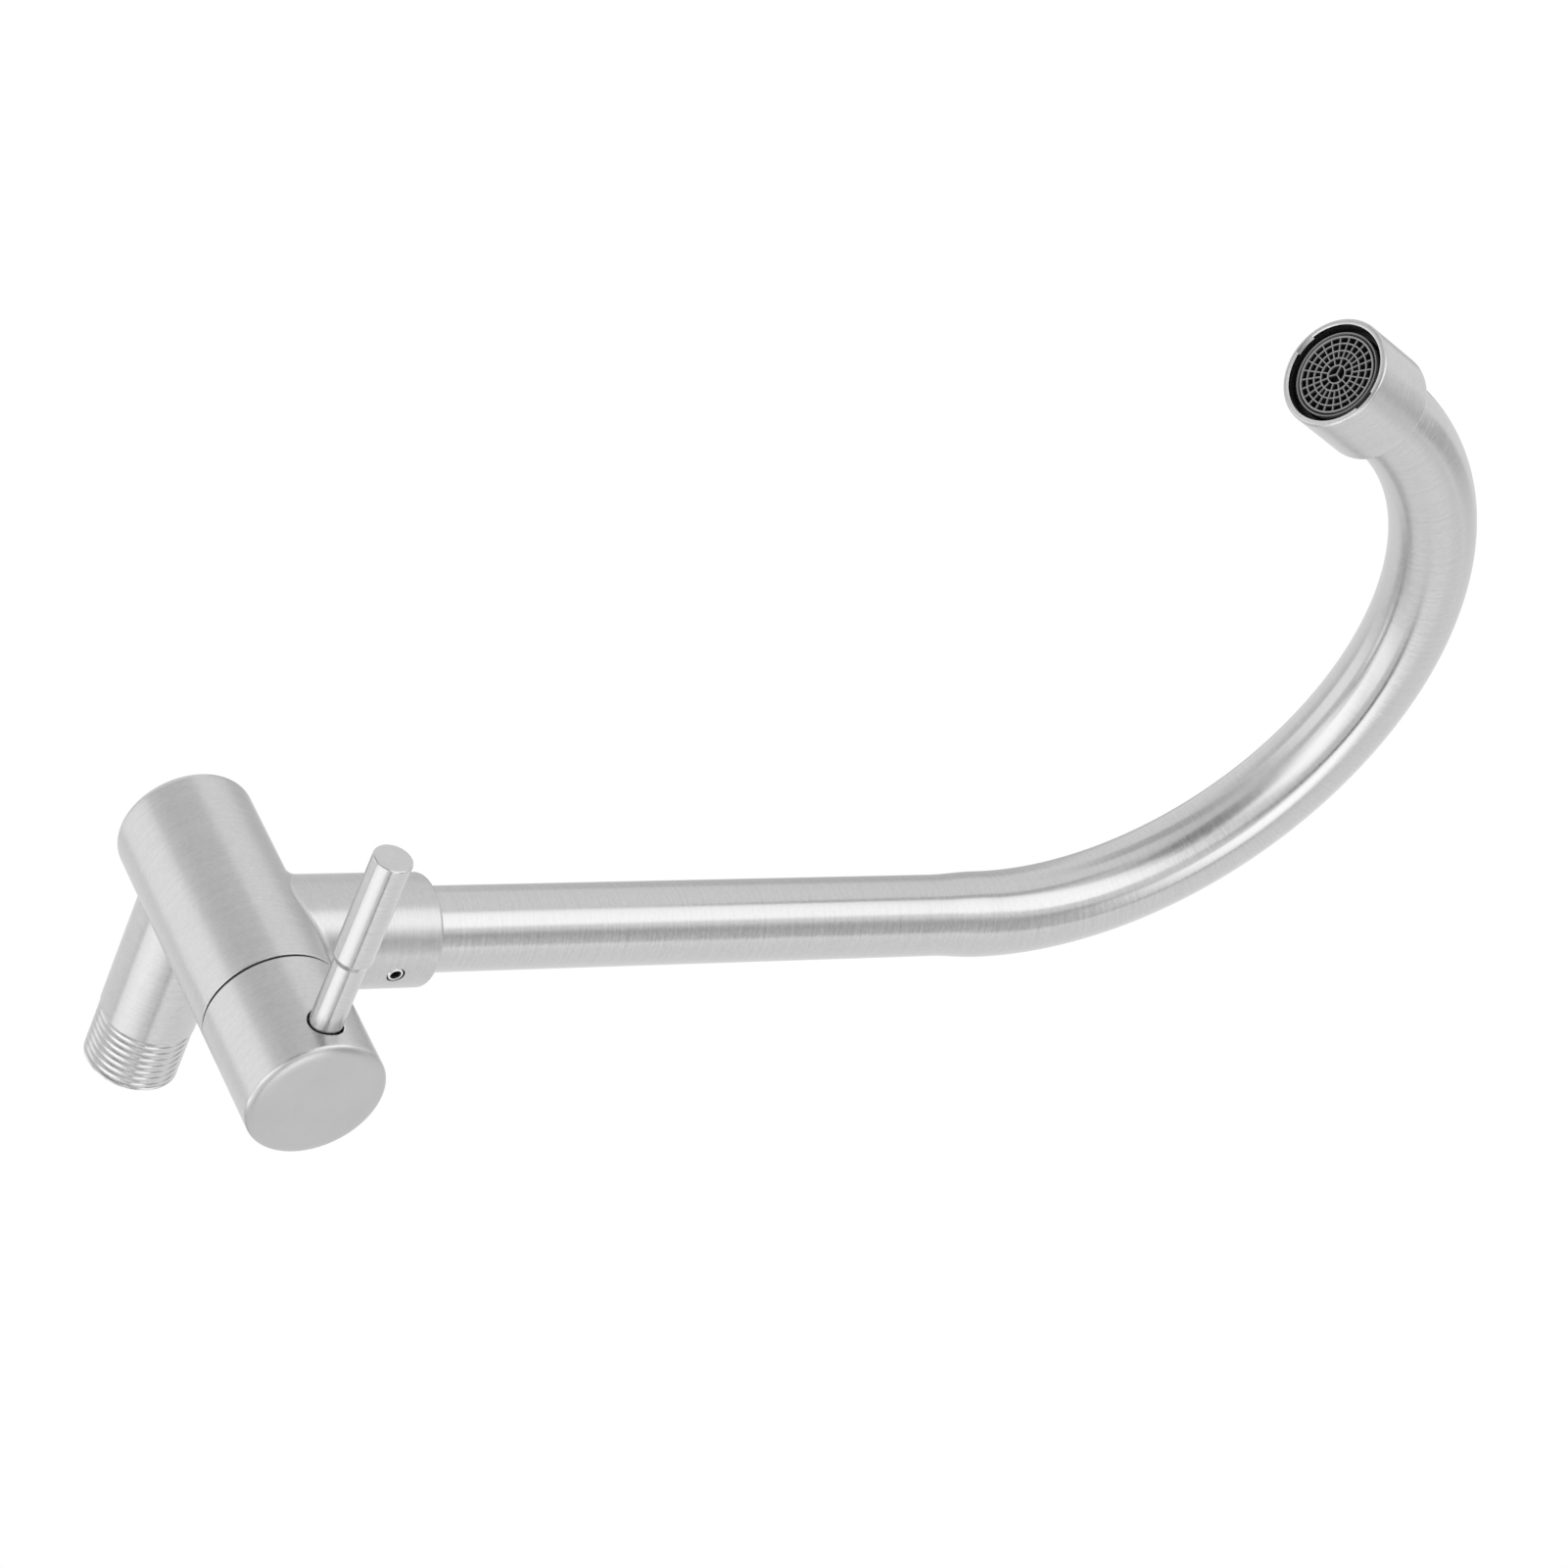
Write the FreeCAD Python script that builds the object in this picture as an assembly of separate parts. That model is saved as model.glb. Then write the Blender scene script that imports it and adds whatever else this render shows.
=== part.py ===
import FreeCAD, Part
import os
from math import cos, pi, radians, sin, sqrt

# Wall tap with a quarter-turn valve, a side lever and a swivelling gooseneck spout.
# All lengths are in millimetres.
# The origin is on the inlet pipe's axis, in the plane of the finished wall, where the thread starts.
# +Y runs into the wall, +X along the valve body towards the handle, and +Z up the spout.

V = FreeCAD.Vector

# Inlet pipe, whose threaded stretch is a cylinder at the outer diameter of a G 1/2 thread.
thread_d = 20.955
thread_length = 14.4
thread_chamfer = 0.4
pipe_d = 21.3
pipe_bore_d = 15.0
pipe_spigot_d = 18.0
pipe_spigot_length = 2.5

# Valve body, a cylinder along X with a socket for the spout on top.
standoff = 42.0
body_d = 30.0
body_back = 13.4
body_front = 42.7
body_edge_r = 2.2
body_end_wall = 4.0
chamber_d = 15.5
seat_x = 10.0
cartridge_nose_gap = 0.75
cartridge_thread_d = 20.955
cartridge_thread_length = 12.0

# Spout socket.
spout_x = 21.0
socket_wall = 2.92
socket_top = 42.2
socket_depth = 23.2
socket_edge_r = 1.0
socket_weld_r = 2.5
outlet_d = 13.0
slide_ring_wall = 1.02
slide_ring_height = 3.2
slide_ring_below_top = 2.6

# Grub screw that runs in the swivel's groove, turned a little from +X towards the wall.
grub_d = 4.0
grub_below_top = 9.5
grub_turn = 7.0
grub_recess = 0.35
grub_dog_d = 2.5
grub_hex_flats = 2.0
grub_hex_depth = 1.8
grub_edge = 0.3

# Quarter-turn cartridge.
disc_d = 17.0
disc_thickness = 3.0
port_inner_r = 2.2
port_outer_r = 6.2
port_half_angle = 38.0
seat_seal_thickness = 2.4
seat_seal_bore_d = 14.0
seat_seal_proud = 0.6
housing_wall = 0.75
window_width = 8.5
window_length = 6.0
flange_gap = 0.7
flange_thickness = 2.2
hex_flats = 17.0
hex_length = 5.4
drive_flange_thickness = 3.4
lug_width = 3.0
lug_depth = 2.4
lug_height = 1.5
lug_edge = 0.6
thrust_washer_thickness = 0.6
stem_d = 10.0
stem_end = 1.8
spline_d = 8.0
clip_d = 13.2
clip_thickness = 0.8
clip_groove_depth = 0.5
clip_opening = 70.0
stem_ring_section_d = 1.6
stem_ring_first = 5.0
stem_ring_pitch = 5.0
flange_ring_section_d = 1.5

# Handle hub and lever.
hub_gap = 0.4
hub_length = 27.1
hub_edge_r = 2.2
hub_rear_edge = 0.3
lever_hole_edge = 0.4
hub_wall = 2.0
hub_face_wall = 2.2
adaptor_gap = 1.0
adaptor_bore_floor = 1.5
lever_behind_front = 8.1
lever_hole_gap = 0.5
stud_d = 6.0
neck_depth = 0.8
neck_d = 7.0
neck_reach = 16.5
cone_length = 1.5
grip_d = 8.3
grip_length = 25.9
lever_bevel = 0.4

# Gooseneck spout.
riser_d = 18.5
gooseneck_d = 19.6
tube_wall = 1.5
taper_length = 12.0
bend_start_z = 185.7
lower_bend_r = 81.0
lower_bend_angle = 79.5
upper_bend_r = 75.0
upper_bend_angle = 73.2
spout_end_straight = 2.9

# Swivel fitting in the foot of the spout.
swivel_gap = 0.08
tube_foot_below_top = 4.7
bush_bore_d = 11.0
bush_spigot_length = 5.0
bush_lift = 0.3
swivel_groove_width = 4.4
swivel_groove_depth = 2.0
swivel_ring_section_d = 2.0
swivel_ring_first = 3.4
swivel_ring_pitch = 4.2

# Outlet sleeve, measured along the outlet's axis from the spout's end.
sleeve_wall = 0.8
sleeve_back = 0.5
sleeve_front = 18.5
sleeve_rear_edge_r = 1.5
sleeve_rim_edge_r = 0.5
sleeve_rear_wall = 2.4
sleeve_seat_width = 2.7
sleeve_seat = 7.6

# Threaded ring in the sleeve, with two coin slots across its rim.
ring_wall = 0.6
ring_mouth_gap = 1.0
ring_mouth_depth = 3.8
slot_width = 4.6
slot_depth = 0.8
slot_turn = 6.0

# Aerator insert.
washer_thickness = 1.6
washer_width = 3.0
insert_flange_width = 1.3
insert_flange_thickness = 1.0
insert_d = 19.4
insert_wall = 0.45
insert_recess = 1.0
grille_thickness = 1.8
grille_rim_wall = 0.5
grille_rabbet_width = 0.3
grille_rabbet_depth = 0.9
rib_width = 0.42
rib_turn = 4.7
spoke_turn = 115.3
grille_ring_radii = (2.08, 3.8, 5.5, 7.15)
grille_cell_counts = (3, 12, 24, 24, 24)
mesh_thickness = 0.4
spacer_height = 0.9
spacer_wall = 1.0
diffuser_thickness = 1.2
diffuser_hole_d = 1.1
diffuser_circle_radii = (5.6, 7.6)
diffuser_hole_counts = (10, 16)

# Clearances.
running_gap = 0.05
fit_gap = 0.1
open_gap = 0.3

# How far a cutting shape runs past the face that it opens.
overcut = 1.0

# Sizes that follow from the ones above.
body_r = body_d / 2
cartridge_end_x = body_front + flange_thickness + hex_length
o_ring_recess_depth = flange_ring_section_d + 2 * fit_gap
disc_face_x = seat_x + seat_seal_thickness
moving_disc_x = disc_face_x + disc_thickness + running_gap
drive_flange_x = moving_disc_x + disc_thickness
disc_chamber_end_x = drive_flange_x + drive_flange_thickness + thrust_washer_thickness + running_gap
housing_bore_r = disc_d / 2 + fit_gap
housing_nose_r = housing_bore_r + housing_wall
cartridge_bore_r = housing_nose_r + cartridge_nose_gap
moving_disc_r = housing_bore_r - open_gap
hub_rear_x = body_front + hub_gap
hub_front = hub_rear_x + hub_length
hub_bore_r = body_r - hub_wall
flange_r = hub_bore_r - flange_gap
hub_floor_x = hub_front - hub_face_wall
clip_x = cartridge_end_x + fit_gap
stem_end_x = clip_x + clip_thickness + stem_end
adaptor_x = stem_end_x + adaptor_gap
drive_end_x = hub_floor_x - adaptor_bore_floor
lever_x = hub_front - lever_behind_front
lever_hole_r = neck_d / 2 + lever_hole_gap
neck_start = hub_bore_r - neck_depth
neck_end = body_r + neck_reach
grip_start = neck_end + cone_length
lever_tip = grip_start + grip_length
riser_r = riser_d / 2
gooseneck_r = gooseneck_d / 2
riser_bore_r = riser_r - tube_wall
gooseneck_bore_r = gooseneck_r - tube_wall
socket_bore_r = riser_r + swivel_gap
socket_r = socket_bore_r + socket_wall
swivel_floor_z = socket_top - socket_depth
bush_foot_z = swivel_floor_z + bush_lift
tube_foot_z = socket_top - tube_foot_below_top
grub_z = socket_top - grub_below_top
slide_ring_r = socket_bore_r + slide_ring_wall
slide_ring_z = socket_top - slide_ring_below_top - slide_ring_height
swivel_groove_r = riser_r - swivel_groove_depth
sleeve_floor = sleeve_rear_wall - sleeve_back
insert_start = sleeve_seat + washer_thickness
lip_start = insert_start + insert_flange_thickness
insert_end = sleeve_front - insert_recess
insert_r = insert_d / 2
insert_bore_r = insert_r - insert_wall
insert_flange_r = insert_r + insert_flange_width
ring_seat_r = insert_flange_r + fit_gap
ring_thread_r = ring_seat_r + ring_wall
ring_mouth_r = insert_r + ring_mouth_gap
sleeve_r = ring_thread_r + sleeve_wall
sleeve_cavity_r = ring_thread_r - sleeve_seat_width
grille_start = insert_end - grille_thickness
grille_rim_r = insert_bore_r - grille_rabbet_width
mesh_start = grille_start - mesh_thickness
spacer_start = mesh_start - spacer_height
diffuser_start = spacer_start - diffuser_thickness


def place(origin, direction):
    """A placement that turns local +Z to a direction and moves the local origin to a point."""
    return FreeCAD.Placement(origin, FreeCAD.Rotation(V(0, 0, 1), direction))


def on_body_axis():
    """The valve body's axis: local +Z is +X, measured from the inlet pipe's axis."""
    return place(V(0, -standoff, 0), V(1, 0, 0))


def on_inlet_axis():
    """The inlet pipe's axis: local +Z is +Y, measured from the wall plane."""
    return place(V(0, 0, 0), V(0, 1, 0))


def on_spout_axis():
    """The spout's upright axis, measured from the valve body's axis."""
    return place(V(spout_x, -standoff, 0), V(0, 0, 1))


def on_lever_axis():
    """The lever's axis: local +Z points away from the wall, measured from the valve body's axis."""
    return place(V(lever_x, -standoff, 0), V(0, -1, 0))


def on_outlet_axis():
    """The outlet's axis: local +Z points the way the water leaves, measured from the spout's end."""
    last = spout_bends()[-1]
    end = last["end"] + last["along"] * spout_end_straight
    return FreeCAD.Placement(end, FreeCAD.Rotation(V(1, 0, 0), lower_bend_angle + upper_bend_angle))


def spout_bends():
    """Both arcs of the spout's centre line, from the riser to the outlet."""
    bends = []
    start = V(spout_x, -standoff, bend_start_z)
    turn = 0.0
    for radius, angle in ((lower_bend_r, lower_bend_angle), (upper_bend_r, upper_bend_angle)):
        a = radians(turn)
        b = radians(turn + angle)
        centre = start + V(0, -cos(a), -sin(a)) * radius
        end = centre + V(0, cos(b), sin(b)) * radius
        bends.append({"start": start, "centre": centre, "end": end, "angle": angle,
                      "first": V(0, -sin(a), cos(a)), "along": V(0, -sin(b), cos(b))})
        start = end
        turn += angle
    return bends


def turned(points, where):
    """A solid of revolution from (height, radius) points, turned about local +Z."""
    corners = [V(r, 0, z) for z, r in points]
    face = Part.Face(Part.makePolygon(corners + corners[:1]))
    solid = face.revolve(V(0, 0, 0), V(0, 0, 1), 360)
    solid.Placement = where
    return solid


def rod(low, high, diameter, where):
    """A plain cylinder between two heights on a local axis."""
    return turned([(low, 0), (low, diameter / 2), (high, diameter / 2), (high, 0)], where)


def ring(low, high, inner_r, outer_r, where):
    """A plain ring between two heights on a local axis."""
    return turned([(low, inner_r), (low, outer_r), (high, outer_r), (high, inner_r)], where)


def o_ring(height, section_d, centre_r, where):
    """A round-section ring."""
    solid = Part.makeTorus(centre_r, section_d / 2, V(0, 0, height), V(0, 0, 1))
    solid.Placement = where
    return solid


def hexagon(low, high, flats, where):
    """A hexagonal prism between two heights on a local axis."""
    corner_r = flats / 2 / cos(pi / 6)
    corners = [V(corner_r * cos(i * pi / 3), corner_r * sin(i * pi / 3), low) for i in range(6)]
    solid = Part.Face(Part.makePolygon(corners + corners[:1])).extrude(V(0, 0, high - low))
    solid.Placement = where
    return solid


def round_edges(solid, radius, where, height, edge_r):
    """Rounds the circular edge that lies at a height and radius on a local axis."""
    rim_point = where.multVec(V(edge_r, 0, height))
    middle = where.multVec(V(0, 0, height))
    chosen = []
    for edge in solid.Edges:
        curve = edge.Curve
        if isinstance(curve, Part.Circle) and curve.Center.distanceToPoint(middle) < 1e-3:
            if abs(curve.Radius - rim_point.distanceToPoint(middle)) < 1e-3:
                chosen.append(edge)
    return solid.makeFillet(radius, chosen)


def sector(inner_r, outer_r, start, end, low, high):
    """An upright prism over a ring's sector between two angles in radians."""
    return Part.Face(sector_wire(inner_r, outer_r, start, end, low)).extrude(V(0, 0, high - low))


def sector_wire(inner_r, outer_r, start, end, height):
    """The outline of a ring's sector, with true arcs."""
    def at(r, a):
        return V(r * cos(a), r * sin(a), height)

    middle = (start + end) / 2
    outer = Part.Arc(at(outer_r, start), at(outer_r, middle), at(outer_r, end)).toShape()
    inner = Part.Arc(at(inner_r, end), at(inner_r, middle), at(inner_r, start)).toShape()
    far_side = Part.makeLine(at(outer_r, end), at(inner_r, end))
    near_side = Part.makeLine(at(inner_r, start), at(outer_r, start))
    return Part.Wire([outer, far_side, inner, near_side])


def valve_body():
    """The casting: a cylinder with the spout socket blended on, bored for water and for the cartridge."""
    x_axis, z_axis = on_body_axis(), on_spout_axis()
    barrel = rod(-body_back, body_front, body_d, x_axis)
    socket = rod(0, socket_top, 2 * socket_r, z_axis)
    solid = barrel.fuse(socket).removeSplitter()
    solid = solid.makeFillet(socket_weld_r, weld_edges(solid))
    solid = round_edges(solid, body_edge_r, x_axis, -body_back, body_r)
    solid = round_edges(solid, socket_edge_r, z_axis, socket_top, socket_r)
    chamber_x = -body_back + body_end_wall
    thread_x = body_front - cartridge_thread_length
    recess_x = body_front - o_ring_recess_depth
    outside_x = body_front + overcut
    bore_r = cartridge_bore_r
    thread_r = cartridge_thread_d / 2
    recess_r = thread_r + flange_ring_section_d
    bore = turned([(chamber_x, 0), (chamber_x, chamber_d / 2), (seat_x, chamber_d / 2), (seat_x, bore_r),
                   (thread_x, bore_r), (thread_x, thread_r), (recess_x, thread_r), (recess_x, recess_r),
                   (outside_x, recess_r), (outside_x, 0)], x_axis)
    ring_top = slide_ring_z + slide_ring_height
    ring_r = slide_ring_r
    outside_z = socket_top + overcut
    outlet_r = outlet_d / 2
    swivel = turned([(0, 0), (0, outlet_r), (swivel_floor_z, outlet_r), (swivel_floor_z, socket_bore_r),
                     (slide_ring_z, socket_bore_r), (slide_ring_z, ring_r), (ring_top, ring_r),
                     (ring_top, socket_bore_r), (outside_z, socket_bore_r), (outside_z, 0)], z_axis)
    inlet = rod(-standoff, 0, pipe_bore_d, on_inlet_axis())
    spigot_hole = rod(spigot_end_y(), 0, pipe_spigot_d, on_inlet_axis())
    solid = solid.cut(bore).cut(swivel).cut(inlet).cut(spigot_hole)
    inside = socket_bore_r - overcut
    return solid.cut(edged_hole(inside, socket_r, grub_d / 2, grub_edge, grub_axis()))


def weld_edges(solid):
    """The saddle edges where the socket meets the barrel: neither straight nor a full circle."""
    found = []
    for edge in solid.Edges:
        if not isinstance(edge.Curve, (Part.Circle, Part.Line)):
            found.append(edge)
    return found


def grub_axis():
    """The grub screw's axis: local +Z points out of the socket, measured from the spout's axis."""
    a = radians(grub_turn)
    return place(V(spout_x, -standoff, grub_z), V(cos(a), sin(a), 0))


def edged_hole(start, face, radius, edge, where):
    """A hole's cylinder with a flare that breaks its edge at a face."""
    low, high, top = face - edge, face + edge, face + overcut
    wide = radius + edge
    return turned([(start, 0), (start, radius), (low, radius), (high, wide), (top, wide), (top, 0)], where)


def spout_grub_screw():
    """A grub screw with a dog point in the swivel's groove and a hexagon socket outside."""
    tip = swivel_groove_r + open_gap
    shoulder = socket_bore_r + fit_gap
    head = socket_r - grub_recess
    screw = turned([(tip, 0), (tip, grub_dog_d / 2), (shoulder, grub_dog_d / 2), (shoulder, grub_d / 2),
                    (head - grub_edge, grub_d / 2), (head, grub_d / 2 - grub_edge), (head, 0)], grub_axis())
    return screw.cut(hexagon(head - grub_hex_depth, head + overcut, grub_hex_flats, grub_axis()))


def slide_ring():
    """A plastic bearing ring in the socket's mouth, which guides the spout."""
    top = slide_ring_z + slide_ring_height
    return ring(slide_ring_z, top, socket_bore_r, slide_ring_r, on_spout_axis())


def spigot_end_y():
    """Where the pipe's spigot ends inside the body's wall."""
    return -standoff + sqrt(body_r ** 2 - (pipe_d / 2) ** 2) - pipe_spigot_length


def inlet_pipe():
    """The pipe from the wall, saddled onto the barrel, with a spigot inside its hole."""
    end = thread_length
    pipe_r = pipe_d / 2
    thread_r = thread_d / 2
    pipe = turned([(-standoff, 0), (-standoff, pipe_r), (0, pipe_r), (0, thread_r),
                   (end - thread_chamfer, thread_r), (end, thread_r - thread_chamfer), (end, 0)],
                  on_inlet_axis())
    pipe = pipe.cut(rod(-body_back - overcut, body_front + overcut, body_d, on_body_axis()))
    spigot = rod(spigot_end_y(), -standoff + body_r, pipe_spigot_d, on_inlet_axis())
    pipe = pipe.fuse(spigot).removeSplitter()
    return pipe.cut(rod(-standoff, end + overcut, pipe_bore_d, on_inlet_axis()))


def seat_seal():
    """The rubber ring that seals the cartridge against its seat."""
    return ring(seat_x, disc_face_x, seat_seal_bore_d / 2, housing_bore_r, on_body_axis())


def ceramic_disc(face_x, radius, port_r, first_angle):
    """A ceramic disc with two opposite ports."""
    solid = rod(0, disc_thickness, 2 * radius, FreeCAD.Placement())
    half = radians(port_half_angle)
    for i in range(2):
        middle = radians(first_angle) + i * pi
        port = sector(port_inner_r, port_r, middle - half, middle + half, -overcut,
                      disc_thickness + overcut)
        solid = solid.cut(port)
    solid.Placement = place(V(face_x, -standoff, 0), V(1, 0, 0))
    return solid


def fixed_disc():
    """The ceramic disc that stays in the housing, with a port in front and a port behind."""
    return ceramic_disc(disc_face_x, disc_d / 2, port_outer_r, 90)


def lug(side, gap):
    """A driving lug on the spindle, or with a gap the slot for it in the moving disc."""
    low = drive_flange_x - lug_height - gap
    width = lug_width + 2 * gap
    inner_r = moving_disc_r - lug_edge - lug_depth - gap
    length = lug_depth + 2 * gap
    first = side * (inner_r + length / 2) - length / 2
    return Part.makeBox(lug_height + gap, length, width, V(low, -standoff + first, -width / 2))


def moving_disc():
    """The ceramic disc that turns with the lever, open at two sides, shut over the fixed disc's ports."""
    solid = ceramic_disc(moving_disc_x, moving_disc_r, moving_disc_r + overcut, 0)
    return solid.cut(lug(-1, fit_gap)).cut(lug(1, fit_gap))


def spindle():
    """The turning stem: a drive flange with lugs, ring grooves, a clip groove and the drive end."""
    stem_r = stem_d / 2
    flange_end = drive_flange_x + drive_flange_thickness
    points = [(drive_flange_x, 0), (drive_flange_x, moving_disc_r),
              (flange_end, moving_disc_r), (flange_end, stem_r)]
    floor = stem_r - stem_ring_section_d
    half = stem_ring_section_d / 2 + fit_gap
    for x in stem_ring_places():
        points += [(x - half, stem_r), (x - half, floor), (x + half, floor), (x + half, stem_r)]
    clip_end = clip_x + clip_thickness
    groove_r = stem_r - clip_groove_depth
    drive_r = spline_d / 2
    points += [(clip_x, stem_r), (clip_x, groove_r), (clip_end, groove_r), (clip_end, stem_r),
               (stem_end_x, stem_r), (stem_end_x, drive_r), (drive_end_x, drive_r), (drive_end_x, 0)]
    solid = turned(points, on_body_axis())
    return solid.fuse([lug(-1, 0), lug(1, 0)]).removeSplitter()


def stem_ring_places():
    """Where the two rings sit on the spindle."""
    first = disc_chamber_end_x + stem_ring_first
    return (first, first + stem_ring_pitch)


def stem_o_ring(number):
    """One of the spindle's rubber rings."""
    centre_r = stem_d / 2 - stem_ring_section_d / 2
    return o_ring(stem_ring_places()[number], stem_ring_section_d, centre_r, on_body_axis())


def thrust_washer():
    """The slippery washer between the spindle's flange and the housing."""
    x = drive_flange_x + drive_flange_thickness
    return ring(x, x + thrust_washer_thickness, stem_d / 2 + fit_gap, moving_disc_r, on_body_axis())


def spindle_clip():
    """The open spring clip that holds the spindle in the housing."""
    inner_r = stem_d / 2 - clip_groove_depth
    clip = ring(0, clip_thickness, inner_r, clip_d / 2, FreeCAD.Placement())
    half = radians(clip_opening / 2)
    clip = clip.cut(sector(inner_r / 2, clip_d, -half, half, -overcut, clip_thickness + overcut))
    clip.Placement = place(V(clip_x, -standoff, 0), V(1, 0, 0))
    return clip


def cartridge_housing():
    """The brass housing: a windowed cup for the discs, a thread, a flange and a spanner hexagon."""
    where = on_body_axis()
    nose_x = seat_x + seat_seal_proud
    thread_x = body_front - cartridge_thread_length
    flange_x = body_front + flange_thickness
    thread_r = cartridge_thread_d / 2
    bore_r = stem_d / 2 + running_gap
    shell = turned([(nose_x, housing_bore_r), (nose_x, housing_nose_r), (thread_x, housing_nose_r),
                    (thread_x, thread_r), (body_front, thread_r), (body_front, flange_r),
                    (flange_x, flange_r), (flange_x, bore_r), (disc_chamber_end_x, bore_r),
                    (disc_chamber_end_x, housing_bore_r)], where)
    nut = hexagon(flange_x, cartridge_end_x, hex_flats, where)
    nut = nut.cut(rod(flange_x - overcut, cartridge_end_x + overcut, 2 * bore_r, where))
    window_x = moving_disc_x + fit_gap
    window = Part.makeBox(window_length, 4 * housing_nose_r, window_width,
                          V(window_x, -standoff - 2 * housing_nose_r, -window_width / 2))
    return shell.fuse(nut).removeSplitter().cut(window)


def flange_o_ring():
    """The ring that seals the cartridge's flange to the body's mouth."""
    half = flange_ring_section_d / 2
    return o_ring(body_front - half, flange_ring_section_d, cartridge_thread_d / 2 + half, on_body_axis())


def handle_hub():
    """The hollow hub over the cartridge, with a rounded face and the lever's hole."""
    where = on_body_axis()
    solid = turned([(hub_rear_x, hub_bore_r), (hub_rear_x, body_r - hub_rear_edge),
                    (hub_rear_x + hub_rear_edge, body_r), (hub_front, body_r), (hub_front, 0),
                    (hub_floor_x, 0), (hub_floor_x, hub_bore_r)], where)
    solid = round_edges(solid, hub_edge_r, where, hub_front, body_r)
    return solid.cut(edged_hole(hub_bore_r / 2, body_r, lever_hole_r, lever_hole_edge, on_lever_axis()))


def hub_adaptor():
    """The block inside the hub that grips the spindle and takes the lever's stud."""
    drive_r = spline_d / 2
    solid = turned([(adaptor_x, drive_r), (adaptor_x, hub_bore_r), (hub_floor_x, hub_bore_r),
                    (hub_floor_x, 0), (drive_end_x, 0), (drive_end_x, drive_r)], on_body_axis())
    solid = solid.cut(rod(0, body_r, stud_d, on_lever_axis()))
    return solid.cut(rod(neck_start, body_r, 2 * lever_hole_r, on_lever_axis()))


def lever_rod():
    """The lever: a stud in the adaptor, a slim neck, a short cone and a plain grip with a bevelled tip."""
    stud_start = spline_d / 2
    stud_r = stud_d / 2
    neck_r = neck_d / 2
    grip_r = grip_d / 2
    return turned([(stud_start, 0), (stud_start, stud_r), (neck_start, stud_r), (neck_start, neck_r),
                   (neck_end, neck_r), (grip_start, grip_r), (lever_tip - lever_bevel, grip_r),
                   (lever_tip, grip_r - lever_bevel), (lever_tip, 0)], on_lever_axis())


def bend_piece(bend, outer_r, inner_r):
    """A hollow bent stretch of the tube: a ring of metal swept round the bend's centre."""
    outer = Part.Face(Part.Wire(Part.makeCircle(outer_r, bend["start"], bend["first"])))
    inner = Part.Face(Part.Wire(Part.makeCircle(inner_r, bend["start"], bend["first"])))
    return outer.cut(inner).Faces[0].revolve(bend["centre"], V(1, 0, 0), bend["angle"])


def spout_tube():
    """The spout: a straight riser, a slight taper, two tangent bends and a short straight end."""
    taper_z = bend_start_z - taper_length
    riser = turned([(tube_foot_z, riser_bore_r), (tube_foot_z, riser_r), (taper_z, riser_r),
                    (bend_start_z, gooseneck_r), (bend_start_z, gooseneck_bore_r),
                    (taper_z, riser_bore_r)], on_spout_axis())
    pieces = [bend_piece(bend, gooseneck_r, gooseneck_bore_r) for bend in spout_bends()]
    pieces.append(ring(-spout_end_straight, sleeve_floor, gooseneck_bore_r, gooseneck_r, on_outlet_axis()))
    return riser.fuse(pieces).removeSplitter()


def swivel_bush():
    """The fitting brazed into the spout's foot, grooved for two rings and for the grub screw."""
    floor = riser_r - swivel_ring_section_d
    half = swivel_ring_section_d / 2 + fit_gap
    points = [(bush_foot_z, bush_bore_d / 2), (bush_foot_z, riser_r)]
    for z in swivel_ring_places():
        points += [(z - half, riser_r), (z - half, floor), (z + half, floor), (z + half, riser_r)]
    low = grub_z - swivel_groove_width / 2
    high = grub_z + swivel_groove_width / 2
    top = tube_foot_z + bush_spigot_length
    points += [(low, riser_r), (low, swivel_groove_r), (high, swivel_groove_r), (high, riser_r),
               (tube_foot_z, riser_r), (tube_foot_z, riser_bore_r), (top, riser_bore_r),
               (top, bush_bore_d / 2)]
    return turned(points, on_spout_axis())


def swivel_ring_places():
    """Where the two rings sit on the swivel fitting."""
    first = bush_foot_z + swivel_ring_first
    return (first, first + swivel_ring_pitch)


def swivel_o_ring(number):
    """One of the rubber rings that seal the swivel."""
    centre_r = riser_r - swivel_ring_section_d / 2
    return o_ring(swivel_ring_places()[number], swivel_ring_section_d, centre_r, on_spout_axis())


def outlet_sleeve():
    """The wider sleeve welded on the spout's end: rounded shoulder, washer seat and threaded mouth."""
    where = on_outlet_axis()
    thread_r = ring_thread_r
    cavity_r = sleeve_cavity_r
    solid = turned([(-sleeve_back, gooseneck_r), (-sleeve_back, sleeve_r), (sleeve_front, sleeve_r),
                    (sleeve_front, thread_r), (sleeve_seat, thread_r), (sleeve_seat, cavity_r),
                    (sleeve_floor, cavity_r), (sleeve_floor, gooseneck_r)], where)
    solid = round_edges(solid, sleeve_rear_edge_r, where, -sleeve_back, sleeve_r)
    return round_edges(solid, sleeve_rim_edge_r, where, sleeve_front, sleeve_r)


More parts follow.
